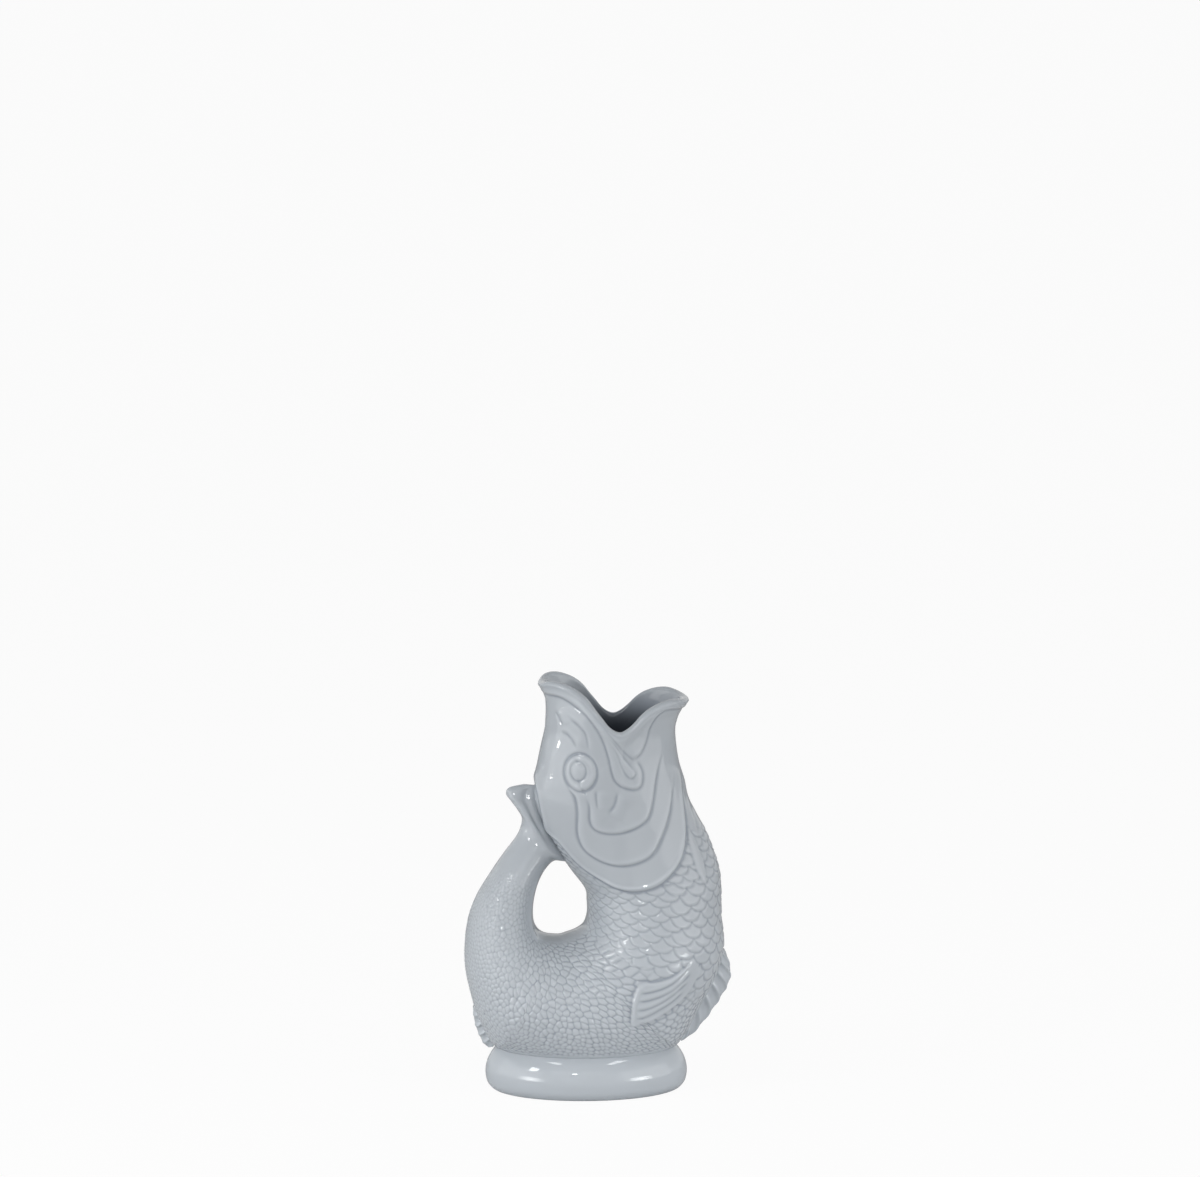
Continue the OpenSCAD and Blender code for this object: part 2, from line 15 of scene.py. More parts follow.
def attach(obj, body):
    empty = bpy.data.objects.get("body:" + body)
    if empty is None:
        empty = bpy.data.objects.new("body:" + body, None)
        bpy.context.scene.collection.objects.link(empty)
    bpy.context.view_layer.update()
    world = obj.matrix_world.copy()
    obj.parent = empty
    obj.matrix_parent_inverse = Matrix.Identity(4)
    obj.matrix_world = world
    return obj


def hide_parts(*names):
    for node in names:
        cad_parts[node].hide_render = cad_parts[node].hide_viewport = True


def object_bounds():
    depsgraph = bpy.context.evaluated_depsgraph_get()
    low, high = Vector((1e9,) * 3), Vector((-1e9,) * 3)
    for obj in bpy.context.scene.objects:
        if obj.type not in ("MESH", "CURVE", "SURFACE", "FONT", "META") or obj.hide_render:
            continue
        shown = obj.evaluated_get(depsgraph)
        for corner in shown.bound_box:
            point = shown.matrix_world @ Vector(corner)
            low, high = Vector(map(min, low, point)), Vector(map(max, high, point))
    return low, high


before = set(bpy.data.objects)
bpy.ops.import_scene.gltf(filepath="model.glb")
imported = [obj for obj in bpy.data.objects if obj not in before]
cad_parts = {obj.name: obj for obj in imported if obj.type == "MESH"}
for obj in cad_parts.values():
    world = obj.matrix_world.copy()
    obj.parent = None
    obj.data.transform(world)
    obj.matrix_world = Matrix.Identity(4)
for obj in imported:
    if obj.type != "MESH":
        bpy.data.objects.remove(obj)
cad_low, cad_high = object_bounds()

MM = 0.001
JUG_H = cad_high.z / MM
JUG_L = 152.0
WALL = 4.5
HEAD_D = 70.0
BELLY_D = 95.0
CREASE_L = 104.0
CREASE_D = 74.0
FOOT_H = 25.0
FOOT_BULGE = 6.0
FOOT_RECESS = 2.5
REST_W = 7.0
LIP_ROLL = 1.2
LIP_BAND = 9.0

# The side outlines are counted from near the middle of the foot, and the origin lies further on
MIDDLE_SHARE = 0.03986
MIDDLE = MIDDLE_SHARE * JUG_L

# Upright part: height, back, throat and half depth, as shares of JUG_H, JUG_L, JUG_L and HEAD_D
NECK_SHARES = [
    [0.4875, -0.011, 0.505, 0.586], [0.529, -0.059, 0.499, 0.564], [0.575, -0.109, 0.477, 0.543],
    [0.625, -0.155, 0.446, 0.529], [0.667, -0.184, 0.411, 0.521], [0.708, -0.201, 0.382, 0.514],
    [0.75, -0.199, 0.366, 0.507], [0.792, -0.189, 0.346, 0.5], [0.833, -0.176, 0.335, 0.493],
    [0.875, -0.161, 0.331, 0.49], [0.9, -0.158, 0.34, 0.493], [0.925, -0.157, 0.356, 0.493],
    [0.95, -0.16, 0.383, 0.479], [0.975, -0.172, 0.395, 0.46], [1, -0.2, 0.405, 0.44]]
# Bent part: a point of the back, a point of the belly, and half the depth as a share of BELLY_D
CHEST_SHARES = [
    [-0.003, 0.454, 0.507, 0.417, 0.447], [-0.003, 0.423, 0.516, 0.35, 0.468],
    [-0.016, 0.398, 0.492, 0.283, 0.489], [-0.039, 0.385, 0.428, 0.204, 0.5]]
FLOOR_SHARES = [
    [-0.063, 0.379, 0.5], [-0.083, 0.375, 0.5], [-0.104, 0.371, 0.498],
    [-0.125, 0.371, 0.49], [-0.147, 0.3725, 0.474]]
TAIL_SHARES = [
    [-0.17, 0.378, -0.405, 0.158, 0.442], [-0.189, 0.389, -0.444, 0.233, 0.405],
    [-0.203, 0.408, -0.466, 0.3125, 0.358], [-0.2065, 0.435, -0.457, 0.4, 0.305],
    [-0.201, 0.467, -0.424, 0.465, 0.258], [-0.186, 0.502, -0.372, 0.521, 0.216],
    [-0.161, 0.533, -0.316, 0.573, 0.179], [-0.125, 0.555, -0.27, 0.6125, 0.147]]
# Tail fin: the same kind of rows, with the back edge sunk a little into the head that carries it
FIN_SHARES = [
    [-0.072, 0.556, -0.252, 0.6375, 0.137], [-0.118, 0.604, -0.248, 0.66, 0.118],
    [-0.154, 0.646, -0.266, 0.681, 0.097], [-0.173, 0.679, -0.289, 0.701, 0.076],
    [-0.183, 0.704, -0.306, 0.717, 0.055], [-0.186, 0.722, -0.295, 0.732, 0.04],
    [-0.186, 0.736, -0.243, 0.74, 0.022]]
LIP_SHARES = [
    [-1, 0.95], [-0.76, 0.957], [-0.62, 0.953], [-0.5, 0.943], [-0.41, 0.929], [-0.32, 0.91],
    [-0.22, 0.895], [-0.1, 0.8875], [0.06, 0.898], [0.23, 0.923], [0.39, 0.948], [0.51, 0.97],
    [0.64, 0.988], [0.77, 0.9985], [0.89, 0.999], [1, 0.991]]
HEAD_JOINT = 0.625 * JUG_H
BEND_Z = 0.4875 * JUG_H
CREASE_X = -0.005 * JUG_L - MIDDLE
FIRST_OPEN, LAST_OPEN = 8, 12
TAIL_ROOT, TAIL_END, FIN_END = 14, 20, 27
# Stations from the head's joint down to the bend, and rows of the bent body that are carried on
# above the joint, for the scales on the throat
NECK_STEPS = 3
ROWS_ABOVE = 4

# Points round a section outside and inside, and the spacing of the rows along the belly edge
ROUND = 480
ROUND_IN = 80
FINE = 0.46


def ease(t):
    """Smooth step from 0 to 1."""
    u = np.clip(t, 0, 1)
    return u * u * (3 - 2 * u)


def bell(x, width):
    """Soft bump: e to the power of minus the square of x over width."""
    return np.exp(-(x / width) ** 2)


def fade(share, end):
    """0 at the two ends of a line and 1 between, with a smooth step over the share end."""
    return ease(share / end) * ease((1 - share) / end)


def along(rows, t):
    """Cardinal spline through the rows, a whole number of t at each row."""
    rows = np.asarray(rows, float)
    pad = np.concatenate([[2 * rows[0] - rows[1]], rows, [2 * rows[-1] - rows[-2]]])
    t = np.asarray(t, float)
    i = np.clip(np.floor(t).astype(int), 0, len(rows) - 2)
    u = (t - i)[..., None]
    a, p, q, b = pad[i], pad[i + 1], pad[i + 2], pad[i + 3]
    return p + u / 2 * (q - a + u * (2 * a - 5 * p + 4 * q - b + u * (3 * (p - q) + b - a)))


def by_place(rows, z):
    """Spline through rows whose first number is a place, read at the places z."""
    rows = np.asarray(rows, float)
    n = len(rows)
    low, high = np.maximum(np.arange(n) - 1, 0), np.minimum(np.arange(n) + 1, n - 1)
    slope = (rows[high] - rows[low]) / (rows[high, :1] - rows[low, :1])
    z = np.asarray(z, float)
    i = np.clip(np.searchsorted(rows[:, 0], z, side="right") - 1, 0, n - 2)
    p, q = rows[i], rows[i + 1]
    d = q[..., :1] - p[..., :1]
    u = (z[..., None] - p[..., :1]) / d
    m, k = slope[i] * d, slope[i + 1] * d
    return p + u * (m + u * (3 * (q - p) - 2 * m - k + u * (2 * (p - q) + m + k)))


def across(share):
    """Place along the jug for a share of its length."""
    return np.asarray(share) * JUG_L - MIDDLE


NECK = [[z * JUG_H, across(b), across(t), d * HEAD_D] for z, b, t, d in NECK_SHARES]


def neck_point(z, angle, inset):
    """Oval section at a height, with the angle counted from the back of the fish."""
    r = by_place(NECK, z)
    half = (r[..., 2] - r[..., 1]) / 2
    x = (r[..., 1] + r[..., 2]) / 2 - (half - inset) * np.cos(angle)
    return np.stack([x, (r[..., 3] - inset) * np.sin(angle), np.broadcast_to(z, x.shape)], -1)


def stations_of_body():
    """Rows of the bent body: the edge of the hole, the belly and half the depth. The belly edge runs
    along half of the oval crease while the body is open to the foot."""
    rows = []
    step = (HEAD_JOINT - BEND_Z) / NECK_STEPS
    for z in HEAD_JOINT + step * np.arange(ROWS_ABOVE, -NECK_STEPS - 1, -1):
        r = by_place(NECK, z)
        rows.append([r[1], z, r[2], z, r[3]])
    for b, bz, v, vz, d in CHEST_SHARES:
        rows.append([across(b), bz * JUG_H, across(v), vz * JUG_H, d * BELLY_D])
    for k, (b, bz, d) in enumerate(FLOOR_SHARES):
        turn = math.pi * k / (LAST_OPEN - FIRST_OPEN)
        end = CREASE_X + CREASE_L / 2 * math.cos(turn)
        rows.append([across(b), bz * JUG_H, end, FOOT_H, d * BELLY_D])
    for b, bz, v, vz, d in TAIL_SHARES + FIN_SHARES:
        rows.append([across(b), bz * JUG_H, across(v), vz * JUG_H, d * BELLY_D])
    return np.array(rows)


STATIONS = stations_of_body()


def section(t, inset):
    """Section at station t: edge of the hole, belly or foot end, half depth, half opening."""
    t = np.asarray(t, float)
    s = along(STATIONS, t + ROWS_ABOVE)
    back, belly, half = s[..., 0:2], s[..., 2:4], s[..., 4]
    turn = np.pi * np.clip((t - FIRST_OPEN) / (LAST_OPEN - FIRST_OPEN), 0, 1)
    is_open = (t >= FIRST_OPEN) & (t <= LAST_OPEN)
    foot = np.stack([CREASE_X + (CREASE_L / 2 - inset) * np.cos(turn), np.full(t.shape, FOOT_H)], -1)
    way = (belly - back) / np.linalg.norm(belly - back, axis=-1, keepdims=True)
    near = ease(1 - np.maximum(np.maximum(FIRST_OPEN - t, t - LAST_OPEN), 0))[..., None]
    side = np.where(t < (FIRST_OPEN + LAST_OPEN) / 2, 1.0, -1.0)
    inward = way * (1 - near) + np.stack([side, 0 * side], -1) * near
    inward /= np.linalg.norm(inward, axis=-1, keepdims=True)
    end = np.where(is_open[..., None], foot, belly - inset * inward)
    return back + inset * way, end, half - inset, np.where(is_open, (CREASE_D / 2 - inset) * np.sin(turn), 0)


def skin(t, share, inset=0.0):
    """Point of the bent body: share runs from -1 to 1 round the section, 0 at the hole's edge."""
    back, end, half, opening = section(t, inset)
    last = np.pi - np.arcsin(np.clip(opening / half, 0, 1))
    a = last * share
    way = ((1 - np.cos(a)) / (1 - np.cos(last)))[..., None]
    p = back + (end - back) * way
    return np.stack([p[..., 0], -half * np.sin(a), p[..., 1]], -1)


def lip_height(angle):
    """Height of the lip's top edge at an angle from the back of the fish."""
    return by_place([[c, z * JUG_H] for c, z in LIP_SHARES], np.cos(angle))[..., 1]


def head_skin(k, share, inset=0.0):
    """Point of the head: k runs from 0 at the joint with the chest to 1 under the lip's edge.
    Past 1 the point goes over the rounded lip, and from 2 to 3 it goes down inside."""
    angle = -np.pi * share
    top = lip_height(angle) - WALL / 2
    inside = np.clip(k - 2, 0, 1)
    z = np.where(k <= 1, HEAD_JOINT + (top - HEAD_JOINT) * np.minimum(k, 1), top - inside * LIP_BAND)
    roll = LIP_ROLL * ease(1 - (top - z) / LIP_BAND)
    turn = np.pi * np.clip(k - 1, 0, 1)
    thick = WALL + LIP_ROLL
    over = np.where(k <= 1, -roll, thick / 2 * (1 - np.cos(turn)) - LIP_ROLL)
    over = np.where(k <= 1, over + inset, over)
    p = neck_point(z, angle, over)
    p[..., 2] += WALL / 2 * np.sin(turn)
    return p


# How the photograph is read: a pixel becomes a point of the side view of the near skin
PHOTO_MM = 0.574
PHOTO_FOOT_PX = (587.4, 1086.5)
VIEW_ELEVATION = math.radians(11.5)
VIEW_AZIMUTH = math.radians(-3.5)
# The search for a point of the skin: its stations, how often they are halved, the depth that it
# starts from, and how often the depth is worked out again
SEARCH_STATIONS = (3.0, 13.0)
HALVINGS = 18
START_Y = -30.0
DEPTH_ROUNDS = 6


def skin_depth(p):
    """Half depth of the fish at points of the side view. In the bent part the station whose
    section passes through the point is found by halving."""
    r = by_place(NECK, p[:, 1])
    c = (p[:, 0] - (r[:, 1] + r[:, 2]) / 2) / ((r[:, 2] - r[:, 1]) / 2)
    upright = r[:, 3] * np.sqrt(np.clip(1 - c * c, 0, 1))
    low, high = (np.full(len(p), station) for station in SEARCH_STATIONS)
    for _ in range(HALVINGS):
        t = (low + high) / 2
        back, end, _half, _open = section(t, 0.0)
        d, e = end - back, p - back
        past = d[:, 0] * e[:, 1] - d[:, 1] * e[:, 0] < 0
        low, high = np.where(past, t, low), np.where(past, high, t)
    back, end, half, opening = section(t, 0.0)
    way = np.linalg.norm(p - back, axis=1) / np.linalg.norm(end - back, axis=1)
    last = np.pi - np.arcsin(np.clip(opening / half, 0, 1))
    c = 1 - way * (1 - np.cos(last))
    return np.where(p[:, 1] >= BEND_Z, upright, half * np.sqrt(np.clip(1 - c * c, 0, 1)))


def from_pixels(pixels):
    """Side-view points of the near skin that these pixels of the photograph show."""
    px = np.asarray(pixels, float)
    y = np.full(len(px), START_Y)
    for _ in range(DEPTH_ROUNDS):
        x = (px[:, 0] - PHOTO_FOOT_PX[0]) * PHOTO_MM + y * math.sin(-VIEW_AZIMUTH)
        rise = (PHOTO_FOOT_PX[1] - px[:, 1]) * PHOTO_MM - y * math.sin(VIEW_ELEVATION)
        p = np.stack([x + CREASE_X, rise / math.cos(VIEW_ELEVATION)], -1)
        y = -skin_depth(p)
    return p


def smooth_line(points, n, closed=False):
    """n points along the spline through the points."""
    p = np.asarray(points, float)
    if closed:
        loop = np.concatenate([p[-1:], p, p[:2]])
        return along(loop, 1 + len(p) * np.arange(n) / n)
    return along(p, (len(p) - 1) * np.arange(n) / (n - 1))


def near_line(p, line, closed=False):
    """Distance of the points p to the line, which side they are on, and the share of its length."""
    a = line
    b = np.roll(line, -1, axis=0)
    if not closed:
        a, b = a[:-1], b[:-1]
    best = np.full(len(p), np.inf)
    side, share = np.zeros(len(p)), np.zeros(len(p))
    for i, (s, e) in enumerate(zip(a, b)):
        d = e - s
        u = np.clip(((p - s) @ d) / (d @ d), 0, 1)
        off = p - s - u[:, None] * d
        dist = np.hypot(off[:, 0], off[:, 1])
        hit = dist < best
        best[hit] = dist[hit]
        side[hit] = np.sign(d[0] * off[hit, 1] - d[1] * off[hit, 0])
        share[hit] = (i + u[hit]) / len(a)
    return best, side, share


def is_inside(p, loop):
    """Whether each point lies inside the closed loop, by counting crossings."""
    inside = np.zeros(len(p), bool)
    for s, e in zip(loop, np.roll(loop, -1, axis=0)):
        crosses = (s[1] > p[:, 1]) != (e[1] > p[:, 1])
        x = s[0] + (p[:, 1] - s[1]) * (e[0] - s[0]) / (e[1] - s[1] + 1e-12)
        inside ^= crosses & (p[:, 0] < x)
    return inside


# Lines of the carving, read off the photograph
GILL_EDGE_PX = [
    (530, 762), (537, 783), (541, 801), (544, 816), (548, 829.5), (560, 841), (573.5, 857), (584.5, 867.5),
    (601, 879), (618, 888.3), (636.5, 891.4), (655.6, 887.5), (671, 876), (682, 859), (686.5, 835),
    (685, 812), (682.5, 790), (682, 765)]
OUTER_FOLD_PX = [
    (565, 777), (571, 789), (577.5, 798), (580, 812), (580, 832), (585.3, 847), (597.5, 857.8), (615.3, 865),
    (634.4, 864.5), (652, 855.7), (662, 838), (669, 816), (672.5, 791.4), (675.4, 765)]
INNER_FOLD_PX = [
    (586, 794), (591.4, 805.8), (593, 823.4), (601.3, 831.8), (618, 834), (636.5, 828.8),
    (648, 819.6), (652.6, 804.3), (655.6, 786), (659.5, 767.5), (664, 752)]
UPPER_LIP_PX = [
    (540, 692), (551, 695), (561.5, 698), (574.7, 706), (588, 717.5), (599, 732), (606, 746),
    (610.5, 760), (613, 772), (616.5, 781.5), (622, 787), (630, 790), (637, 790.3), (641.5, 786.5),
    (642.8, 778), (641, 770), (635.5, 761.5)]
LOWER_LIP_PX = [
    (635.5, 761.5), (642.5, 754), (647, 743), (650, 731), (658, 718.5), (667.4, 712), (680.6, 710),
    (692, 711)]
JAW_DROP_PX = [
    (608, 741), (618, 755), (622, 766), (626.5, 775), (631, 779.5), (635, 778.5), (635.5, 774), (631, 768.5),
    (624, 760), (616, 748), (609, 738)]
LIP_CORNER_PX = [(603, 727), (612, 738), (622, 750), (629, 757), (635.5, 762)]
BROWS_PX = [
    [(557, 711), (561, 718), (565, 727)],
    [(567, 714.5), (577, 724), (586, 733), (589.5, 743), (590.5, 756)],
    [(561, 731.5), (569, 735), (575, 742), (579, 752)],
    [(598.5, 790), (598.5, 800), (600, 812)],
    [(619.5, 792), (617, 805), (610, 816)]]
EYE_PX = (582.2, 773.6)
EYE_HALF_PX = (15.9, 18.6)
PUPIL_PX = (580.2, 772)
PUPIL_HALF_PX = (7.3, 9.4)
PECTORAL_PX = [
    (639, 986), (644.5, 982.8), (656.7, 982), (667.4, 979), (678, 973.6), (687.3, 966.7), (694.2, 959.8),
    (701, 971.3), (696.5, 979.7), (689, 992.7), (679.7, 1002.7), (666, 1012.6), (652, 1020.3),
    (643, 1022.6), (633, 1025), (633, 1010), (634.5, 997.3)]
FIN_ROOT_PX = (703, 960)
RAYS_PX = [
    [(639.9, 992.7), (654.4, 990.4), (669, 985), (681.2, 976), (690, 966)],
    [(637.6, 1000.8), (652, 998.5), (667.4, 992.7), (681.2, 982.8), (692, 971)],
    [(636.4, 1009.6), (649, 1007.3), (662.8, 1001.2), (675, 992.7), (690, 980)],
    [(635.3, 1017.6), (646, 1015.7), (658.3, 1009.6), (672, 1001.2), (685, 989.7)]]
FEATHERS_PX = [
    [(553.5, 842), (560, 846), (567, 852.5)], [(556, 848), (564, 853), (573, 860.5)],
    [(559, 853), (567, 858), (578, 867)], [(551, 837.5), (556, 840), (562, 844.5)]]
FIN_END_PX = [(645, 984), (639.5, 991), (636, 1001), (634, 1012), (633, 1024)]
FIN_TOP_PX = [(644, 983), (657, 982.5), (668, 979.5), (679, 974), (689, 966), (697, 957)]
THROAT_LINES_PX = [
    [(677, 752), (683, 778), (688, 800), (692, 824)], [(683, 776), (691, 800), (698, 826), (703, 850)],
    [(682, 800), (685, 824), (687, 846)]]
THROAT_FIN_PX = [
    (688, 828), (695, 838), (701, 852), (706, 868), (707, 885), (699, 874), (694, 860), (690, 845)]
# Folds of the head: line, points on it, height, reach, depth of the groove, and what differs from
# the usual fold
FOLDS = [
    [GILL_EDGE_PX, 110, 1.5, 16, 0.4, {"end": 0.08, "ridge": 0.3}],
    [OUTER_FOLD_PX, 80, 1.0, 11, 0.5, {"end": 0.16}],
    [INNER_FOLD_PX, 70, 0.9, 9, 0.48, {"end": 0.18}],
    [UPPER_LIP_PX, 110, 0.9, 5, 0.5, {"end": 0.05}],
    [LOWER_LIP_PX, 60, 0.8, 5, 0.46, {}],
    [JAW_DROP_PX, 60, 0.5, 4, 0.42, {"width": 0.6, "end": 0.12}],
    [LIP_CORNER_PX, 30, 0.4, 3, 0.4, {"width": 0.6, "end": 0.12}]]
FOLDS += [[line, 30, 0.7, 3.5, 0.45, {"soft": 1.0, "width": 1.15, "end": 0.28}] for line in BROWS_PX]
# The thin ridge on top of a fold: how far it lies behind the line, and its width
RIDGE_BACK, RIDGE_W = 1.6, 0.9
# Cuts: depth, width, and the share of the line over which each end fades out
FEATHER_CUT = (0.4, 0.6, 0.3)
THROAT_CUT = (0.3, 0.8, 0.4)
THROAT_FIN_RISE, THROAT_FIN_CUT, THROAT_FIN_CUT_W = 0.35, 0.3, 0.9
# The eye: height of its disc and width of the disc's edge as a share of the half width, height of
# the pupil's dome, and depth, place and width of the grooves round both, as shares in the same way
EYE_H, EYE_EDGE = 0.8, 0.26
PUPIL_H = 0.35
EYE_GROOVE = (0.5, 1.02, 0.075)
PUPIL_GROOVE = (0.42, 1.0, 0.15)
EYE_CUTS = [[0.4, [(581, 782), (583, 788), (587, 795)]], [0.3, [(577.5, 761), (584.5, 768)]]]
EYE_CUT_W = 0.7
# Side fins: height of the plate, the rays as folds, height and width of the rib at the free end,
# depth, place and width of the groove along the top edge, and the length of the sunken root
FIN_H = 0.55
FIN_RAY = {"height": 0.75, "reach": 2.6, "groove": 0.55, "soft": 0.75, "width": 0.9, "end": 0.12}
FIN_RIB = (0.55, 0.75, 0.15)
FIN_TOP_CUT = (0.4, 0.6, 0.8, 0.2)
FIN_ROOT_L = 9


THROAT_FIN = smooth_line(from_pixels(THROAT_FIN_PX), 60, closed=True)


def fold(p, line, height, reach, groove, soft=0.85, width=1.05, end=0.07, ridge=0.0):
    """A fold: a step along the line that sinks away from it over reach, with a groove at its foot
    and a thin ridge on top of it. It fades out towards both ends of the line."""
    d, side, share = near_line(p, line)
    step = height * np.exp(-d / reach) * ease(side * d / (2 * soft) + 0.5)
    step += ridge * bell(side * d - RIDGE_BACK, RIDGE_W)
    return fade(share, end) * (step - groove * bell(d, width))


def strip(p, line, size, width, end):
    """A thin form along the line, raised or cut in by size, which fades out towards both ends."""
    d, _, share = near_line(p, line)
    return size * fade(share, end) * bell(d, width)


def plate(p, loop):
    """1 inside the closed loop and 0 outside it, with a smooth step 2 mm wide between."""
    d, _, _ = near_line(p, loop, closed=True)
    return ease(np.where(is_inside(p, loop), 1, -1) * d / 2 + 0.5)


def eye_form(p):
    """The eye: a low disc in an oval groove, with a smaller domed pupil in a groove of its own, and
    two short cuts from the pupil outwards."""
    middle, pupil = from_pixels([EYE_PX, PUPIL_PX])
    q = np.hypot(*((p - middle) / (np.array(EYE_HALF_PX) * PHOTO_MM)).T)
    s = np.hypot(*((p - pupil) / (np.array(PUPIL_HALF_PX) * PHOTO_MM)).T)
    h = EYE_H * ease((1 - q) / EYE_EDGE) + PUPIL_H * np.sqrt(np.clip(1 - s ** 2, 0, 1))
    for share, (depth, place, width) in ((q, EYE_GROOVE), (s, PUPIL_GROOVE)):
        h -= depth * bell(share - place, width)
    for depth, line in EYE_CUTS:
        h -= depth * bell(near_line(p, from_pixels(line))[0], EYE_CUT_W)
    return h


def head_relief(p):
    """Height of the carving of the head over the skin, at points of the side view."""
    h = eye_form(p) + THROAT_FIN_RISE * plate(p, THROAT_FIN)
    h -= THROAT_FIN_CUT * bell(near_line(p, THROAT_FIN, closed=True)[0], THROAT_FIN_CUT_W)
    for line, count, height, reach, groove, other in FOLDS:
        h += fold(p, smooth_line(from_pixels(line), count), height, reach, groove, **other)
    for line in FEATHERS_PX:
        h -= strip(p, from_pixels(line), *FEATHER_CUT)
    for line in THROAT_LINES_PX:
        h -= strip(p, smooth_line(from_pixels(line), 30), *THROAT_CUT)
    return h


def fin_relief(p):
    """Height of the fins on the sides: a low plate that sinks into the skin at its root, with a thin
    rib at its free end and a groove along its top. Each ray is a soft step with a groove below it."""
    on = plate(p, smooth_line(from_pixels(PECTORAL_PX), 80, closed=True))
    h = FIN_H * on
    for line in RAYS_PX:
        h += on * fold(p, smooth_line(from_pixels(line), 40), **FIN_RAY)
    h += strip(p, smooth_line(from_pixels(FIN_END_PX), 30), *FIN_RIB)
    d, side, share = near_line(p, smooth_line(from_pixels(FIN_TOP_PX), 30))
    depth, place, width, end = FIN_TOP_CUT
    h -= depth * bell(side * d - place, width) * fade(share, end)
    return h * ease(np.hypot(*(p - from_pixels([FIN_ROOT_PX])[0]).T) / FIN_ROOT_L), on


def belly_ribs(t, over):
    """How much the ribs beside the belly fin take over, and their height: a cosine along the
    stations that slants down to the fin."""
    edge = np.interp(t, LENGTHS["t"], LENGTHS["over"][:, -1]) - over
    band = ease((RIB_TOP - edge) / RIB_FADE) * ease((t - 5.1) / 0.5) * ease((7.9 - t) / 0.5)
    return band, RIB_H * np.cos(2 * np.pi * RIBS_PER_STATION * (t - BELLY_FIN[0][0] + edge / RIB_SLANT))


def noise_of(*keys):
    """A number from 0 to 1 for each set of whole-number keys, the same on each run."""
    mixed = np.zeros(np.broadcast(*keys).shape, np.uint64)
    for k, prime in zip(keys, (73856093, 19349663, 83492791)):
        mixed = mixed ^ (np.asarray(k).astype(np.int64).astype(np.uint64) * np.uint64(prime))
        mixed = (mixed ^ (mixed >> np.uint64(13))) * np.uint64(0x9E3779B97F4A7C15)
    return ((mixed >> np.uint64(40)) & np.uint64(0xFFFF)).astype(float) / 0xFFFF


# Fins on the belly edge: station and share of the full reach
BELLY_FIN = [[5.25, 0.1], [5.7, 0.62], [6.1, 0.97], [6.6, 1], [7.1, 0.88], [7.5, 0.58], [7.85, 0.15]]
REAR_FIN = [[12.1, 0.4], [12.35, 0.95], [12.75, 1], [13.2, 0.75], [13.6, 0.2]]
# How deep their roots lie in the body, the wave of their edge, the edge's share of the thickness,
# and the points across the underside of the root
ROOT_DEPTH, EDGE_WAVE, EDGE_SHARE = 1.6, 0.1, 0.16
UNDER_COUNT = 7
# Ribs on the skin beside the belly fin: their height, how many lie between two stations, how far
# they slant for each station, and the way up the skin over which they end
RIB_H, RIBS_PER_STATION, RIB_SLANT = 0.42, 2.7, 18
RIB_TOP, RIB_FADE = 22, 9
# Height at which the scales of the throat end
THROAT_SCALES_Z = 157
# The ridge down the tail: height, half width, way from the hole's edge at the tail's root, and how
# much nearer to the edge it comes with each station
TAIL_RIDGE_H, TAIL_RIDGE_W = 0.9, 2.6
TAIL_RIDGE_OVER, TAIL_RIDGE_LEAN = 17, 1.3
# Scales of the chest: their width at each share of the way round from the hole, for a section of
# the common half length, and the length of a row from the share at which its band begins
SCALE_WIDTHS = [[0, 7.2], [0.12, 8.4], [0.27, 10.4], [0.45, 12.6], [0.75, 13.4], [1.1, 13.4]]
SCALE_HALF = 126.0
SCALE_BANDS = [[0.0, 4.8], [0.14, 5.7], [0.27, 6.9], [0.4, 8.2], [0.58, 9.4]]
# Reach of a scale in columns and rows, the power of its round edge, how far its centre strays, its
# height at the base and its rise for each row, and the height and groove in millimetres
SCALE_REACH, SCALE_POWER, SCALE_STRAY = (1.1, 1.06), 2.5, 0.26
SCALE_BASE, SCALE_RISE = 0.25, 0.5
SCALE_H, SCALE_GROOVE, SCALE_GROOVE_W = 0.9, 0.42, 0.085
# Height that is taken off the scales and the cells, so that they stay at the solid's skin
SCALE_SINK, CELL_SINK = 0.35, 1.0
# Cells of the belly and tail: their width at each station, its share of that at each place round
# the section, and their length as a share of their width
CELL_WIDTHS = [
    [-4, 6.8], [5, 6.8], [7, 6.2], [8.5, 5.2], [10, 4.4], [12, 3.8], [14, 3.3], [16, 2.9], [18, 2.6],
    [21, 2.5]]
CELL_SPREAD = [[0, 0.7], [0.3, 0.95], [0.5, 0.98], [0.75, 0.78], [1, 0.6]]
CELL_HEIGHTS = [[5, 0.62], [9, 0.6], [12, 0.55], [14, 0.46], [16, 0.38], [19, 0.32]]
CELL_ROW = 1.1
CELL_COUNT = 80
# How far a cell's centre strays, the height of its dome and how much of it falls away towards the
# edge, its rise towards the tail, and the depth and width of the groove
CELL_STRAY = 0.7
CELL_DOME, CELL_FALL, CELL_RISE = 0.8, 0.45, 0.3
CELL_GROOVE, CELL_GROOVE_W = 0.8, 0.25
# Stations in the table of lengths
GRAIN = 420


def length_table():
    """Lengths along the skin in millimetres, for stations and shares on a coarse grid: down the
    fish from the first station, and round half the section from the edge of the hole."""
    t = np.linspace(-ROWS_ABOVE, TAIL_END + 1, GRAIN)
    share = np.linspace(0, 1, 61)
    grid = skin(t[:, None], share[None, :])
    step = np.linalg.norm(np.diff(grid, axis=0, prepend=grid[:1]), axis=-1)
    over = np.cumsum(np.linalg.norm(np.diff(grid, axis=1, prepend=grid[:, :1]), axis=-1), axis=1)
    return {"t": t, "share": share, "down": np.cumsum(step, axis=0), "over": over}


LENGTHS = length_table()


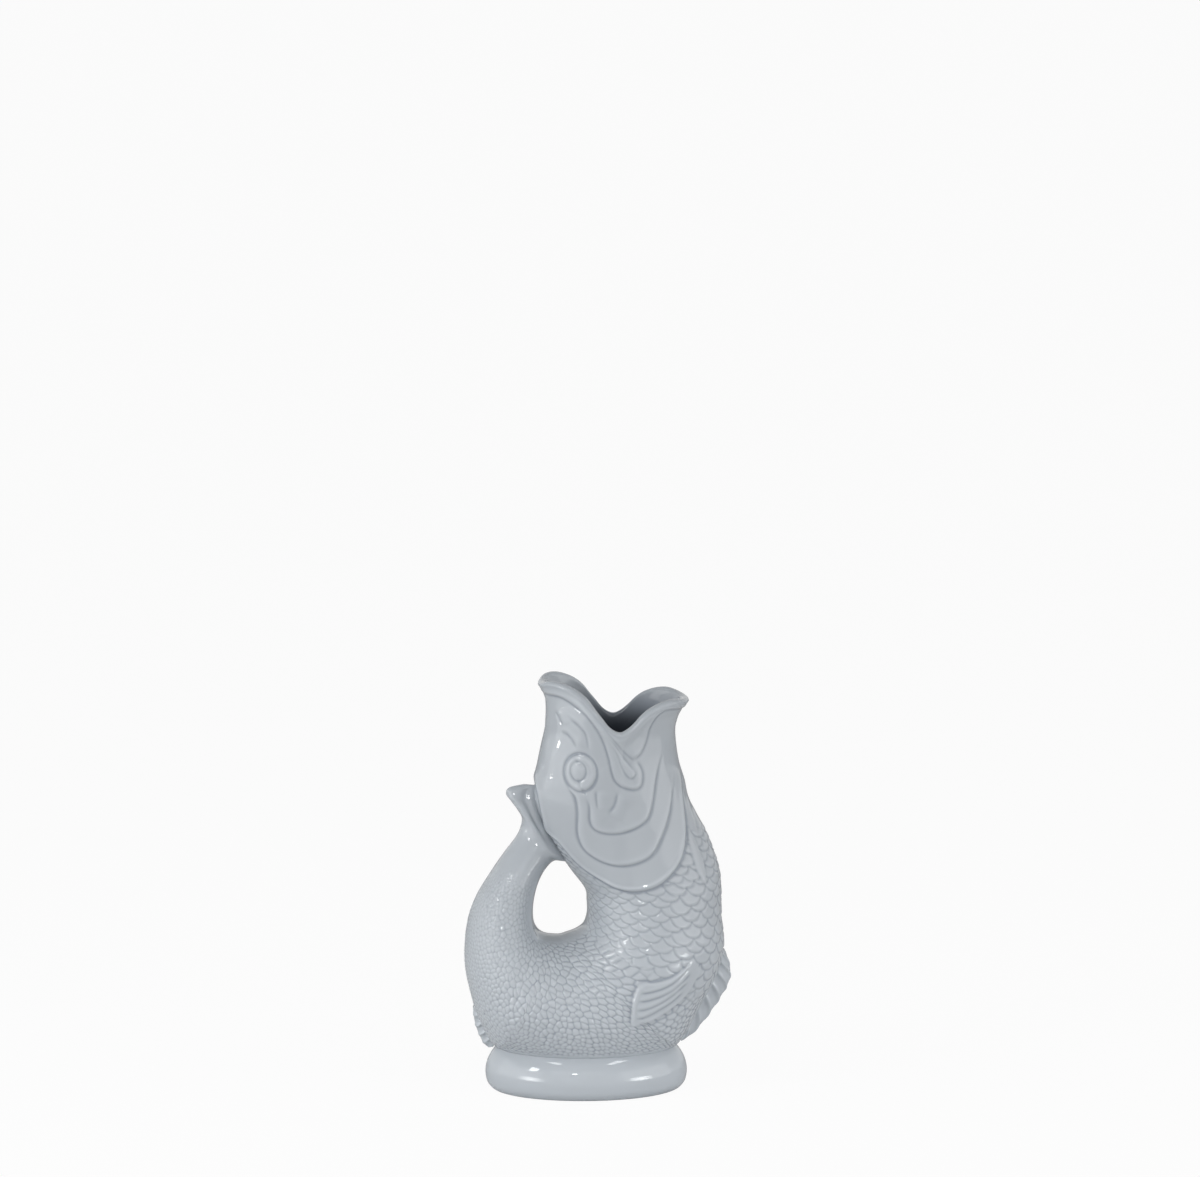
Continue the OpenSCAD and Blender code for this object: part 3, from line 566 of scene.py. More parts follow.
def look_up(table, t, share):
    """Value of a table over stations and shares, by straight lines between its places."""
    ts, shares = LENGTHS["t"], LENGTHS["share"]
    i = np.clip(((t - ts[0]) / (ts[1] - ts[0])).astype(int), 0, len(ts) - 2)
    j = np.clip((share * (len(shares) - 1)).astype(int), 0, len(shares) - 2)
    f, g = (t - ts[i]) / (ts[1] - ts[0]), share * (len(shares) - 1) - j
    low = table[i, j] * (1 - g) + table[i, j + 1] * g
    high = table[i + 1, j] * (1 - g) + table[i + 1, j + 1] * g
    return low * (1 - f) + high * f


def cell_table():
    """Rows of cells passed at each station, for each column of cells. A column keeps its count of
    cell widths from the edge of the hole, and its rows are counted along its own way."""
    t, share = LENGTHS["t"], LENGTHS["share"]
    place = np.linspace(0, 1, 101)
    spread = np.interp(place, *np.array(CELL_SPREAD).T)
    count = np.concatenate([[0], np.cumsum(0.5 / spread[1:] + 0.5 / spread[:-1]) / 100])
    width = np.interp(t, *np.array(CELL_WIDTHS).T)
    half = LENGTHS["over"][:, -1]
    k = np.arange(CELL_COUNT + 1)
    at = np.interp(k[None, :] * (width / half)[:, None], count, place)
    shares = np.stack([np.interp(at[i] * half[i], LENGTHS["over"][i], share) for i in range(len(t))])
    way = skin(np.repeat(t[:, None], len(k), axis=1), shares)
    step = np.linalg.norm(np.diff(way, axis=0, prepend=way[:1]), axis=-1)
    size = CELL_ROW * width[:, None] * np.interp(at, place, spread)
    rows = np.cumsum(step / size, axis=0)
    return {"place": place, "count": count, "half": half, "width": width, "rows": rows}


CELLS = cell_table()


def lattice(column, rows_passed, stray):
    """Way in columns and rows to each of the 15 nearest centres of a loose lattice, with the rows
    of every second column half a row on. rows_passed gives the rows passed in a column, and each
    centre strays by a share of a place."""
    for dc in (-2, -1, 0, 1, 2):
        k = np.round(column) + dc
        passed, shift = rows_passed(k), 0.5 * (k % 2)
        first = np.floor(passed - shift)
        for m in (first - 1, first, first + 1):
            centre = k + stray * (noise_of(k, m, 1) - 0.5)
            yield column - centre, passed - (m + shift + 0.5 + stray * (noise_of(k, m, 2) - 0.5))


def chest_scales(t, arc):
    """Roof-tile scales: each is an oval whose round free edge points to the tail. It rises towards
    that edge and covers the base of the next ones, so the height is the greatest of all that cover
    the point. A groove follows each edge that no other scale covers. Columns are half a scale apart
    and rows keep one length in each band."""
    place = np.linspace(0, 1.1, 111)
    width = np.interp(place, *np.array(SCALE_WIDTHS).T) / 2 / SCALE_HALF
    count = np.concatenate([[0], np.cumsum(0.5 / width[1:] + 0.5 / width[:-1]) * (place[1] - place[0])])
    bands = np.array(SCALE_BANDS)

    def rows_passed(k):
        band = np.searchsorted(bands[:, 0], np.interp(k, count, place), side="right") - 1
        band = np.clip(band, 0, len(bands) - 1)
        mid = np.clip(bands[band, 0] + 0.08, 0, 1)
        return look_up(LENGTHS["down"], t, mid) / bands[band, 1]

    lifts, rims = [], []
    for c, r in lattice(np.interp(arc, place, count), rows_passed, SCALE_STRAY):
        oval = np.abs(c / SCALE_REACH[0]) ** SCALE_POWER + np.abs((r + 0.5) / SCALE_REACH[1]) ** SCALE_POWER
        rims.append(oval ** (1 / SCALE_POWER))
        lifts.append(SCALE_BASE + SCALE_RISE * (r + 0.6))
    lifts, rims = np.array(lifts), np.array(rims)
    top = np.max(np.where(rims < 1, lifts, 0), axis=0)
    edges = np.where(lifts >= top - 0.02, bell(rims - 1.02, SCALE_GROOVE_W), 0).max(axis=0)
    return SCALE_H * top - SCALE_GROOVE * edges


def belly_cells(t, over):
    """Small domed cells: each point belongs to the nearest of a loose lattice of centres, with a
    groove where two centres are about as near. Each cell rises a little towards the tail."""
    half = np.interp(t, LENGTHS["t"], CELLS["half"])
    width = np.interp(t, LENGTHS["t"], CELLS["width"])
    column = np.interp(over / half, CELLS["place"], CELLS["count"]) * half / width
    step = LENGTHS["t"][1] - LENGTHS["t"][0]
    i = np.clip(((t - LENGTHS["t"][0]) / step).astype(int), 0, GRAIN - 2)
    f = (t - LENGTHS["t"][i]) / step

    def rows_passed(k):
        k = np.clip(k, 0, CELL_COUNT).astype(int)
        return CELLS["rows"][i, k] * (1 - f) + CELLS["rows"][i + 1, k] * f

    nearest, second, rise = np.full(len(t), np.inf), np.full(len(t), np.inf), np.zeros(len(t))
    for c, r in lattice(column, rows_passed, CELL_STRAY):
        d = np.hypot(c, r * CELL_ROW)
        second = np.minimum(second, np.maximum(nearest, d))
        rise = np.where(d < nearest, r, rise)
        nearest = np.minimum(nearest, d)
    dome = CELL_DOME * (1 - CELL_FALL * np.clip(nearest / 0.85, 0, 1) ** 4)
    return dome + CELL_RISE * rise - CELL_GROOVE * bell(second - nearest, CELL_GROOVE_W)


def scale_relief(u, v):
    """Height of the scales at stations u and shares v. On the chest they lie like roof tiles, and
    towards the belly and the tail they turn into small domed cells. They fade out by the hole."""
    t, place = u.ravel(), np.abs(v.ravel())
    over = look_up(LENGTHS["over"], t, place)
    arc = over / np.interp(np.minimum(t, 5.5), LENGTHS["t"], LENGTHS["over"][:, -1])
    cells = ease((t - 5.8 - 0.8 * np.minimum(arc, 1)) / 0.7)
    tiles = chest_scales(t, np.minimum(arc, 1.05)) - SCALE_SINK
    tiles *= 0.6 + 0.4 * np.minimum(arc, 1)
    pebbles = (belly_cells(t, over) - CELL_SINK) * np.interp(t, *np.array(CELL_HEIGHTS).T)
    # The smooth border by the hole, in millimetres, widens down the body and narrows up the tail
    edge = 3 + 8 * ease((t - 4.5) / 3) + 6 * ease((t - 12) / 3) - 9 * ease((t - 15.5) / 4)
    bare = ease((over - edge) / 7) * ease((18.9 - t) / 1.4) * (1 - 0.9 * ridge_line(t, over))
    return (bare * ((1 - cells) * tiles + cells * pebbles)).reshape(u.shape)


def blur(h, turns):
    """Soft average of a grid of heights, down the rows and round the columns."""
    for _ in range(turns):
        pad = np.pad(h, ((1, 1), (0, 0)), mode="edge")
        h = (pad[:-2] + 2 * pad[1:-1] + pad[2:]) / 4
        h = (np.roll(h, 1, axis=1) + 2 * h + np.roll(h, -1, axis=1)) / 4
    return h


def normals_of(grid):
    """Unit normals of a grid of points, from the differences between neighbours. Where a row closes
    on itself, its two ends share one normal."""
    du = np.gradient(grid, axis=0)
    dv = np.empty_like(grid)
    dv[:, 1:-1] = grid[:, 2:] - grid[:, :-2]
    closed = np.linalg.norm(grid[:, 0] - grid[:, -1], axis=-1) < 1e-6
    dv[:, 0] = np.where(closed[:, None], grid[:, 1] - grid[:, -2], 2 * (grid[:, 1] - grid[:, 0]))
    dv[:, -1] = np.where(closed[:, None], dv[:, 0], 2 * (grid[:, -1] - grid[:, -2]))
    n = np.cross(du, dv)
    return n / np.maximum(np.linalg.norm(n, axis=-1, keepdims=True), 1e-12)


def raised(base, height):
    """The grid with its heights added along the outward normals, and the normals of the result."""
    n = normals_of(base)
    out = base - base.mean(axis=1, keepdims=True)
    sign = 1.0 if np.mean(np.sum(n * out, axis=-1)) > 0 else -1.0
    closed = np.linalg.norm(base[:, 0] - base[:, -1], axis=-1) < 1e-6
    grid = base + sign * n * height[..., None]
    grid[closed, -1] = grid[closed, 0]
    return grid, sign * normals_of(grid), closed


def make_mesh(name, points, faces, normals, pool_and_shade):
    """A smooth mesh object from points in millimetres and an array of triangles, with a normal and
    a depth of the glaze's pool, which carries painted shade too, for each point. Points that no face uses
    are left out."""
    mesh = bpy.data.meshes.new(name)
    count, corners = faces.shape
    used, new = np.unique(faces, return_inverse=True)
    mesh.vertices.add(len(used))
    mesh.vertices.foreach_set("co", (points[used] * MM).astype(np.float32).ravel())
    mesh.loops.add(count * corners)
    mesh.loops.foreach_set("vertex_index", new.astype(np.int32).ravel())
    mesh.polygons.add(count)
    mesh.polygons.foreach_set("loop_start", np.arange(0, count * corners, corners, dtype=np.int32))
    mesh.polygons.foreach_set("use_smooth", np.full(count, True))
    mesh.update(calc_edges=True)
    mesh.validate()
    attribute = mesh.attributes.new("pool_and_shade", "FLOAT", "POINT")
    attribute.data.foreach_set("value", pool_and_shade[used].astype(np.float32))
    mesh.normals_split_custom_set_from_vertices(normals[used].astype(np.float32).tolist())
    piece = bpy.data.objects.new(name, mesh)
    bpy.context.scene.collection.objects.link(piece)
    return piece


# Profile of the foot's bulge: shares of FOOT_BULGE outside the crease and of FOOT_H
BULGE_SHARES = [
    [-0.2, 0], [0.2, 0.012], [0.5, 0.06], [0.84, 0.17], [1, 0.34], [0.98, 0.5], [0.78, 0.68],
    [0.42, 0.84], [0.02, 0.97], [-0.12, 1]]
# Rows of the head up to the lip, over the lip and down inside it, the place on the lip past which
# the glaze takes the painted shade of the throat, and the rows of the smooth wall below
HEAD_ROWS = 172
LIP_ROWS, INSIDE_ROWS = 10, 12
THROAT_SHADE_FROM = 1.6
INNER_ROWS = 24
# Stations where one length of the body ends and the next begins
JOINTS = [0, 4.5, FIRST_OPEN, 10, LAST_OPEN, TAIL_ROOT, 17, TAIL_END]
# Rows past each end of a length, so that its relief and normals agree with its neighbour's
EXTRA = 12
# The glaze pools, with painted shade, where the skin lies below a soft average of itself. The blur
# turns set how wide that average is on the skin and on the fins, and the pool is no deeper than this
SKIN_BLUR, FIN_BLUR = 24, 6
POOL_AND_SHADE_LEAST = -0.3
# Painted shade deep in the throat: how dark the glaze is painted where little light reaches
THROAT_PAINTED_SHADE = -0.9


def quads(a, b, c, d):
    """Rows of four corners from four arrays of point numbers."""
    return np.stack([a, b, c, d], -1).reshape(-1, 4)


def grid_faces(ids):
    """Faces between the neighbours of a grid of point numbers."""
    return quads(ids[:-1, :-1], ids[1:, :-1], ids[1:, 1:], ids[:-1, 1:])


def join_rings(fine, coarse):
    """Faces between a ring of points and one with fewer points, a whole number to each: a fan from
    each coarse point to the fine ones, and one face more to reach the next coarse point."""
    k = (len(fine) - 1) // (len(coarse) - 1)
    fans = [quads(coarse[:-1], fine[q:-1:k], fine[q + 1::k], coarse[:-1]) for q in range(k)]
    return np.concatenate(fans + [quads(coarse[:-1], fine[k::k], coarse[1:], coarse[:-1])])


def shell(outer, inner, closed):
    """Faces of a closed wall between an outer grid and a coarser inner grid with as many rows. The
    ends are closed by rings, and where a section is open to the foot the two edges are closed too."""
    n, m = outer.shape[1] - 1, inner.shape[1] - 1
    ids = np.arange(outer.shape[0] * (n + 1)).reshape(-1, n + 1)
    ins = ids.size + np.arange(inner.shape[0] * (m + 1)).reshape(-1, m + 1)
    ids[closed, -1], ins[closed, -1] = ids[closed, 0], ins[closed, 0]
    faces = [grid_faces(ids), grid_faces(ins)[:, [0, 3, 2, 1]]]
    gap = ~closed[:-1] | ~closed[1:]
    faces += [quads(ids[:-1, 0], ins[:-1, 0], ins[1:, 0], ids[1:, 0])[gap],
              quads(ids[:-1, -1], ids[1:, -1], ins[1:, -1], ins[:-1, -1])[gap]]
    return np.concatenate(faces + [join_rings(ids[0], ins[0]), join_rings(ids[-1], ins[-1])[:, ::-1]])


def triangles(faces):
    """The quads as triangles, without those that have lost a corner."""
    tri = np.concatenate([faces[:, [0, 1, 2]], faces[:, [0, 2, 3]]])
    return tri[(tri[:, 0] != tri[:, 1]) & (tri[:, 1] != tri[:, 2]) & (tri[:, 0] != tri[:, 2])]


def add_piece(name, grids, shades, faces, pool_and_shade, nodes):
    """A finished piece on the jug, with its faces turned to agree with its normals."""
    points = np.concatenate([g.reshape(-1, 3) for g in grids])
    normals = np.concatenate([s.reshape(-1, 3) for s in shades])
    pools_and_shade = np.concatenate([pool_and_shade.ravel(), np.zeros(len(points) - pool_and_shade.size)])
    tri = triangles(faces)
    some = tri[:4000]
    way = np.cross(points[some[:, 1]] - points[some[:, 0]], points[some[:, 2]] - points[some[:, 0]])
    if np.sum(way * normals[some[:, 0]]) < 0:
        tri = tri[:, ::-1]
    piece = make_mesh(name, points, tri, normals, pools_and_shade)
    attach(piece, "root")
    if nodes:
        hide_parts(*nodes)
    return piece


def beyond(rows, count):
    """The rows with some more at each end, at the same spacing."""
    more = np.arange(1, count + 1)
    before = rows[0] - (rows[1] - rows[0]) * more[::-1]
    return np.concatenate([before, rows, rows[-1] + (rows[-1] - rows[-2]) * more])


def pool_and_shade_of(height, turns):
    """How far the skin lies above or below a soft average of itself: the depth of the glaze's pool, which
    also sets the shade painted into grooves.
    """
    return height - blur(height, turns)


def body_length(name, first, last, relief, nodes):
    """One length of the body between two stations, as a closed wall with its relief outside."""
    low, high = np.searchsorted(ROWS, [first - 1e-6, last - 1e-6])
    rows = ROWS[low - EXTRA:high + EXTRA + 1]
    u, v = np.meshgrid(rows, np.linspace(-1, 1, ROUND + 1), indexing="ij")
    base = skin(u, v)
    height = blur(relief(u, v, base), 1)
    grid, shade, closed = raised(base, height)
    pool_and_shade = np.maximum(pool_and_shade_of(height, SKIN_BLUR), POOL_AND_SHADE_LEAST)
    keep = slice(EXTRA, -EXTRA)
    u, v = np.meshgrid(rows[keep], np.linspace(-1, 1, ROUND_IN + 1), indexing="ij")
    inner, inner_shade, _ = raised(skin(u, v, WALL), np.zeros(u.shape))
    faces = shell(grid[keep], inner, closed[keep])
    grids, shades = [grid[keep], inner], [shade[keep], -inner_shade]
    return add_piece(name, grids, shades, faces, pool_and_shade[keep], nodes)


def gill_mask(base):
    """1 on the scaled skin and 0 under the smooth gill cover and on the throat's fin."""
    gill = smooth_line(from_pixels(GILL_EDGE_PX), 90)
    top, back = JUG_H + WALL, gill[0, 0] - JUG_L / 4
    loop = np.concatenate([gill, [[gill[-1, 0] + WALL, top], [back, top], [back, gill[0, 1]]]])
    p = base[..., [0, 2]].reshape(-1, 2)
    d, _, _ = near_line(p, loop, closed=True)
    bare = np.where(is_inside(p, loop), 0, 1) * ease(d / 1.2) * (1 - plate(p, THROAT_FIN))
    return bare.reshape(base.shape[:-1])


def carving(base):
    """The carving of the head at every point of a grid, taken from its place in the side view."""
    return head_relief(base[..., [0, 2]].reshape(-1, 2)).reshape(base.shape[:-1])


def head_height(v, base):
    """Carving of the head, and the scales of the throat as far up as they go."""
    z = base[..., 2]
    t = (HEAD_JOINT - z) / (HEAD_JOINT - BEND_Z) * NECK_STEPS
    scales = scale_relief(np.maximum(t, -ROWS_ABOVE), v) * gill_mask(base)
    return carving(base) + scales * ease((THROAT_SCALES_Z - z) / 8) * (base[..., 0] > 0)


def chest_height(u, v, base):
    """Lower part of the gill covers, and the scales outside them."""
    return carving(base) + scale_relief(u, v) * gill_mask(base)


def belly_height(u, v, base):
    """Cells of the belly, which end at the foot, with the side fins and the belly's ribs over them."""
    fin, on = (h.reshape(u.shape) for h in fin_relief(base[..., [0, 2]].reshape(-1, 2)))
    by_foot = ease((base[..., 2] - FOOT_H - 0.3) / 2)
    band, ribs = belly_ribs(u, look_up(LENGTHS["over"], u.ravel(), np.abs(v.ravel())).reshape(u.shape))
    skin_forms = scale_relief(u, v) * (1 - 0.8 * band) + band * ribs
    return skin_forms * (1 - np.clip(on, 0, 1)) * by_foot + fin + tail_ridge(u, v)


def ridge_line(t, over):
    """1 along the ridge that runs down the tail and 0 a few millimetres off it."""
    middle = TAIL_RIDGE_OVER - TAIL_RIDGE_LEAN * (t - TAIL_ROOT)
    return bell(over - middle, TAIL_RIDGE_W) * ease((t - 13) / 1.5) * ease((19.5 - t) / 2)


def tail_ridge(u, v):
    """A soft ridge down the tail, between the smooth face towards the hole and the scaled back."""
    over = look_up(LENGTHS["over"], u.ravel(), np.abs(v.ravel())).reshape(u.shape)
    return TAIL_RIDGE_H * ridge_line(u, over)


def tail_height(u, v, base):
    """Fine cells of the tail and its ridge."""
    return scale_relief(u, v) + tail_ridge(u, v)


def rows_between(first, last, spacing):
    """Stations from first to last, evenly spaced along the longest of three lines down the skin."""
    t = np.linspace(first, last, 400)
    lines = skin(t[None, :], np.array([[0.55], [0.75], [0.95]]))
    length = np.linalg.norm(np.diff(lines, axis=1), axis=-1).max(axis=0)
    length = np.concatenate([[0], np.cumsum(length)])
    return np.interp(np.linspace(0, length[-1], int(length[-1] / spacing) + 2), length, t)


def painted_throat_shade(z):
    """Painted shade of the throat: 0 inside the lips and 1 deep in the throat, where the glaze is painted
    dark.
    """
    return ease((0.965 * JUG_H - z) / (0.12 * JUG_H))


def all_rows():
    """Stations of all rows of the body, with the joints among them and some rows past the ends. The
    lengths on both sides of a joint read the same rows there, so their edges agree."""
    parts = [rows_between(a, b, FINE)[:-1] for a, b in zip(JOINTS[:-1], JOINTS[1:])]
    return beyond(np.concatenate(parts + [[float(TAIL_END)]]), EXTRA)


ROWS = all_rows()


def head():
    """The head: fine rows up from the joint, over the rounded lips and a little way down inside,
    then a smooth wall inside with half as many points round it."""
    up = np.arange(-EXTRA, HEAD_ROWS + 1) / HEAD_ROWS
    over_lip = 1 + np.arange(1, LIP_ROWS + 1) / LIP_ROWS
    k = np.concatenate([up, over_lip, 2 + np.arange(1, INSIDE_ROWS + 1) / INSIDE_ROWS])
    u, v = np.meshgrid(k, np.linspace(-1, 1, ROUND + 1), indexing="ij")
    base = head_skin(u, v)
    height = np.zeros(u.shape)
    outside = slice(len(up))
    height[outside] = blur(head_height(v[outside], base[outside]), 1)
    height[outside] *= ease((1 - u[outside]) * HEAD_ROWS / 8)
    grid, shade, _ = raised(base, height)
    pool_and_shade = np.maximum(pool_and_shade_of(height, SKIN_BLUR), POOL_AND_SHADE_LEAST)
    # Past the lip the glaze takes painted shade, darker the deeper it lies in the throat
    pool_and_shade = np.where(u > THROAT_SHADE_FROM, THROAT_PAINTED_SHADE * painted_throat_shade(base[..., 2]), pool_and_shade)[EXTRA:]
    grid, shade = grid[EXTRA:], shade[EXTRA:]
    u, v = np.meshgrid(np.linspace(1, 0, INNER_ROWS), np.linspace(-1, 1, ROUND // 2 + 1), indexing="ij")
    top = lip_height(np.pi * v) - WALL / 2 - LIP_BAND
    inner = neck_point(HEAD_JOINT + (top - HEAD_JOINT) * (u * 0.998), -np.pi * v, WALL)
    inner, inner_shade, _ = raised(inner, np.zeros(u.shape))
    # The smooth wall inside takes the painted shade of the throat too
    pools_and_shade = np.concatenate([pool_and_shade.ravel(), THROAT_PAINTED_SHADE * painted_throat_shade(inner[..., 2]).ravel()])
    ids = np.arange(pool_and_shade.size).reshape(pool_and_shade.shape)
    ins = pool_and_shade.size + np.arange(u.size).reshape(u.shape)
    ids[:, -1], ins[:, -1] = ids[:, 0], ins[:, 0]
    faces = np.concatenate([grid_faces(ids), grid_faces(ins), join_rings(ids[-1], ins[0])[:, ::-1],
                            join_rings(ids[0], ins[-1])])
    return add_piece("head_skin", [grid, inner], [shade, -inner_shade], faces, pools_and_shade,
                     ["head_shell", "eyes", "jaw_folds", "gill_covers"])


def capped(grid):
    """Faces of a grid of closed rows, with a fan over its first and last row to two added points."""
    rows, n = grid.shape[0], grid.shape[1] - 1
    ids = np.arange(rows * (n + 1)).reshape(rows, n + 1)
    ids[:, -1] = ids[:, 0]
    first, last = np.full(n, ids.size), np.full(n, ids.size + 1)
    return np.concatenate([grid_faces(ids), quads(ids[0, :-1], ids[0, 1:], first, first),
                           quads(ids[-1, 1:], ids[-1, :-1], last, last)])


def solid_from(name, base, height, nodes):
    """A solid piece from a grid of closed rows, with fans over its two ends."""
    grid, shade, _ = raised(base, height)
    ends = grid[[0, -1]].mean(axis=1)
    ways = shade[[0, -1]].mean(axis=1)
    pool_and_shade = pool_and_shade_of(height, FIN_BLUR)
    return add_piece(name, [grid, ends], [shade, ways], capped(grid), pool_and_shade, nodes)


def tail_fin():
    """The fin at the tail's end, carried on from the tail's sections. A soft lobe runs along
    it, and a valley parts it from the head."""
    u, v = np.meshgrid(rows_between(TAIL_END, FIN_END - 0.01, 0.4), np.linspace(-1, 1, 241), indexing="ij")
    way = (1 - np.cos(np.pi * v)) / 2
    valley = np.exp(-((way - 0.42) / 0.16) ** 2)
    lobe = np.exp(-((way - 0.82) / 0.13) ** 2)
    height = ease((u - TAIL_END - 0.5) / 2) * (0.5 * lobe - 1.3 * valley) * ease((FIN_END - u) / 1.5)
    return solid_from("tail_fin_skin", skin(u, v), height, ["tail_fin"])


def frill(name, reach_rows, out, thick, ribs, slant, rib, nodes):
    """A fin along the belly edge, out as far as the share of reach in its rows says. Rows follow the
    stations, and a row runs from one side of the root over the thin wavy edge to the other side, and
    back under the root. Ribs are a cosine along the way, shifted by slant towards the edge."""
    reach_rows = np.array(reach_rows)
    first, last = reach_rows[0, 0], reach_rows[-1, 0]
    u, v = np.meshgrid(np.linspace(first, last, 320), np.linspace(-1, 1, 97), indexing="ij")
    back, end, _half, _open = section(u, 0.0)
    way = end - back
    way /= np.linalg.norm(way, axis=-1, keepdims=True)
    share = (u - first) / (last - first)
    up = 1 - np.abs(v)
    turn = 2 * np.pi * (ribs * share + slant * up)
    wave = np.cos(turn + 0.6 * np.sin(turn))
    reach = by_place(reach_rows, u)[..., 1] * out + ROOT_DEPTH
    rise = reach * np.sin(np.pi / 2 * np.clip(up * 1.12, 0, 1)) - ROOT_DEPTH
    rise += EDGE_WAVE * wave * ease((up - 0.7) / 0.3)
    width = thick / 2 * (EDGE_SHARE + (1 - EDGE_SHARE) * (1 - ease(up)) ** 1.2) * np.sign(v)
    width *= np.minimum(1, np.abs(v) * 8) ** 0.5
    base = np.stack([end[..., 0] + way[..., 0] * rise, width, end[..., 1] + way[..., 1] * rise], -1)
    under = np.repeat(base[:, -1:], UNDER_COUNT, axis=1)
    under[..., 1] *= np.linspace(1, -1, UNDER_COUNT + 2)[1:-1]
    ring = np.concatenate([base, under, base[:, :1]], axis=1)
    height = rib * wave * np.abs(v) ** 0.4 * ease(up / 0.25) * fade(share, 0.1)
    height = np.concatenate([height, np.zeros((len(u), UNDER_COUNT + 1))], axis=1)
    return solid_from(name, ring, height, nodes)


def foot():
    """The foot: one profile, from the middle of the underside out round the bulge and back to the
    middle of the floor inside, carried round an oval."""
    outer = along(np.array(BULGE_SHARES) * [FOOT_BULGE, FOOT_H], np.linspace(0, len(BULGE_SHARES) - 1, 90))
    rest = -0.2 * FOOT_BULGE - REST_W
    hollow = np.array([[-WALL - 0.7, FOOT_H], [-WALL + 0.5, 0.75 * FOOT_H], [-WALL, 0.5 * FOOT_H],
                       [-WALL - FOOT_RECESS, FOOT_RECESS + WALL]])
    under = np.array([[rest - FOOT_RECESS, FOOT_RECESS], [rest - 0.4, 0.3], [rest, 0.0]])
    profile = np.concatenate([under, outer, along(hollow, np.linspace(0, len(hollow) - 1, 30))])
    a = np.linspace(0, 2 * np.pi, ROUND + 1)[None, :]
    out, z = profile[:, :1], profile[:, 1:]
    x = CREASE_X + (CREASE_L / 2 + out) * np.cos(a)
    grid = np.stack([x, (CREASE_D / 2 + out) * np.sin(a), z + 0 * a], -1)
    low, high = FOOT_RECESS, FOOT_RECESS + WALL
    grid = np.concatenate([near_middle(grid[:1], low), grid, near_middle(grid[-1:], high)])
    grid[:, -1] = grid[:, 0]
    return solid_from("foot_dish", grid, np.zeros(grid.shape[:2]), ["foot"])


def near_middle(ring, level):
    """The ring shrunk to a fiftieth of its size about the middle of the foot at a level."""
    return 0.02 * ring + 0.98 * np.array([CREASE_X, 0, level])


def build_jug():
    """All pieces of the jug, the lengths of the fish from the lips to the tail first."""
    lengths = [
        ["chest_skin", chest_height, ["body_shell", "throat_fins"]],
        ["belly_skin_front", belly_height, ["pectoral_fins"]],
        ["belly_skin_low_front", belly_height, []],
        ["belly_skin_low_back", belly_height, []],
        ["belly_skin_back", belly_height, []],
        ["tail_skin_low", tail_height, ["tail_handle"]],
        ["tail_skin_high", tail_height, []]]
    pieces = [head()]
    for (name, relief, nodes), first, last in zip(lengths, JOINTS[:-1], JOINTS[1:]):
        pieces.append(body_length(name, first, last, relief, nodes))
    return pieces + [
        tail_fin(),
        frill("belly_fin_frill", BELLY_FIN, 9, 12, 7, -1.3, 0.6, ["belly_fin"]),
        frill("rear_fin_frill", REAR_FIN, 4.3, 9, 5, -0.5, 0.5, ["rear_fin"]),
        foot()]


def linear(hex_value):
    """Linear colour from an sRGB hex value such as 0xb2b8be."""
    c = np.array([(hex_value >> s) & 255 for s in (16, 8, 0)]) / 255
    c = np.where(c <= 0.04045, c / 12.92, ((c + 0.055) / 1.055) ** 2.4)
    return (*c.tolist(), 1.0)


def add_node(tree, kind, settings=None, values=None, links=None):
    """A node with its settings, the values of its inputs, and links from other nodes' outputs."""
    node = tree.nodes.new(kind)
    for key, value in (settings or {}).items():
        setattr(node, key, value)
    for key, value in (values or {}).items():
        node.inputs[key].default_value = value
    for key, (other, output) in (links or {}).items():
        tree.links.new(other.outputs[output], node.inputs[key])
    return node


# The glaze's tones along the depth of its pool, from the deepest to the thinnest. The darkest is painted
# shade deep in the throat, and the grooves' darker tone holds painted shade too
POOL_AND_SHADE_RANGE = (-0.9, 0.3)
GLAZE_AND_SHADE_TONES = [[0.0, 0x3C4149], [0.5, 0x989FA8], [0.73, 0xB4BAC0], [1.0, 0xBDC3C9]]
# Cloudy tones about 33 mm across, and a ripple about 9 mm across as a brushed or dipped glaze has
CLOUDS_PER_METRE, RIPPLES_PER_METRE = 30.0, 110.0
RIPPLE_HEIGHT = 0.0004


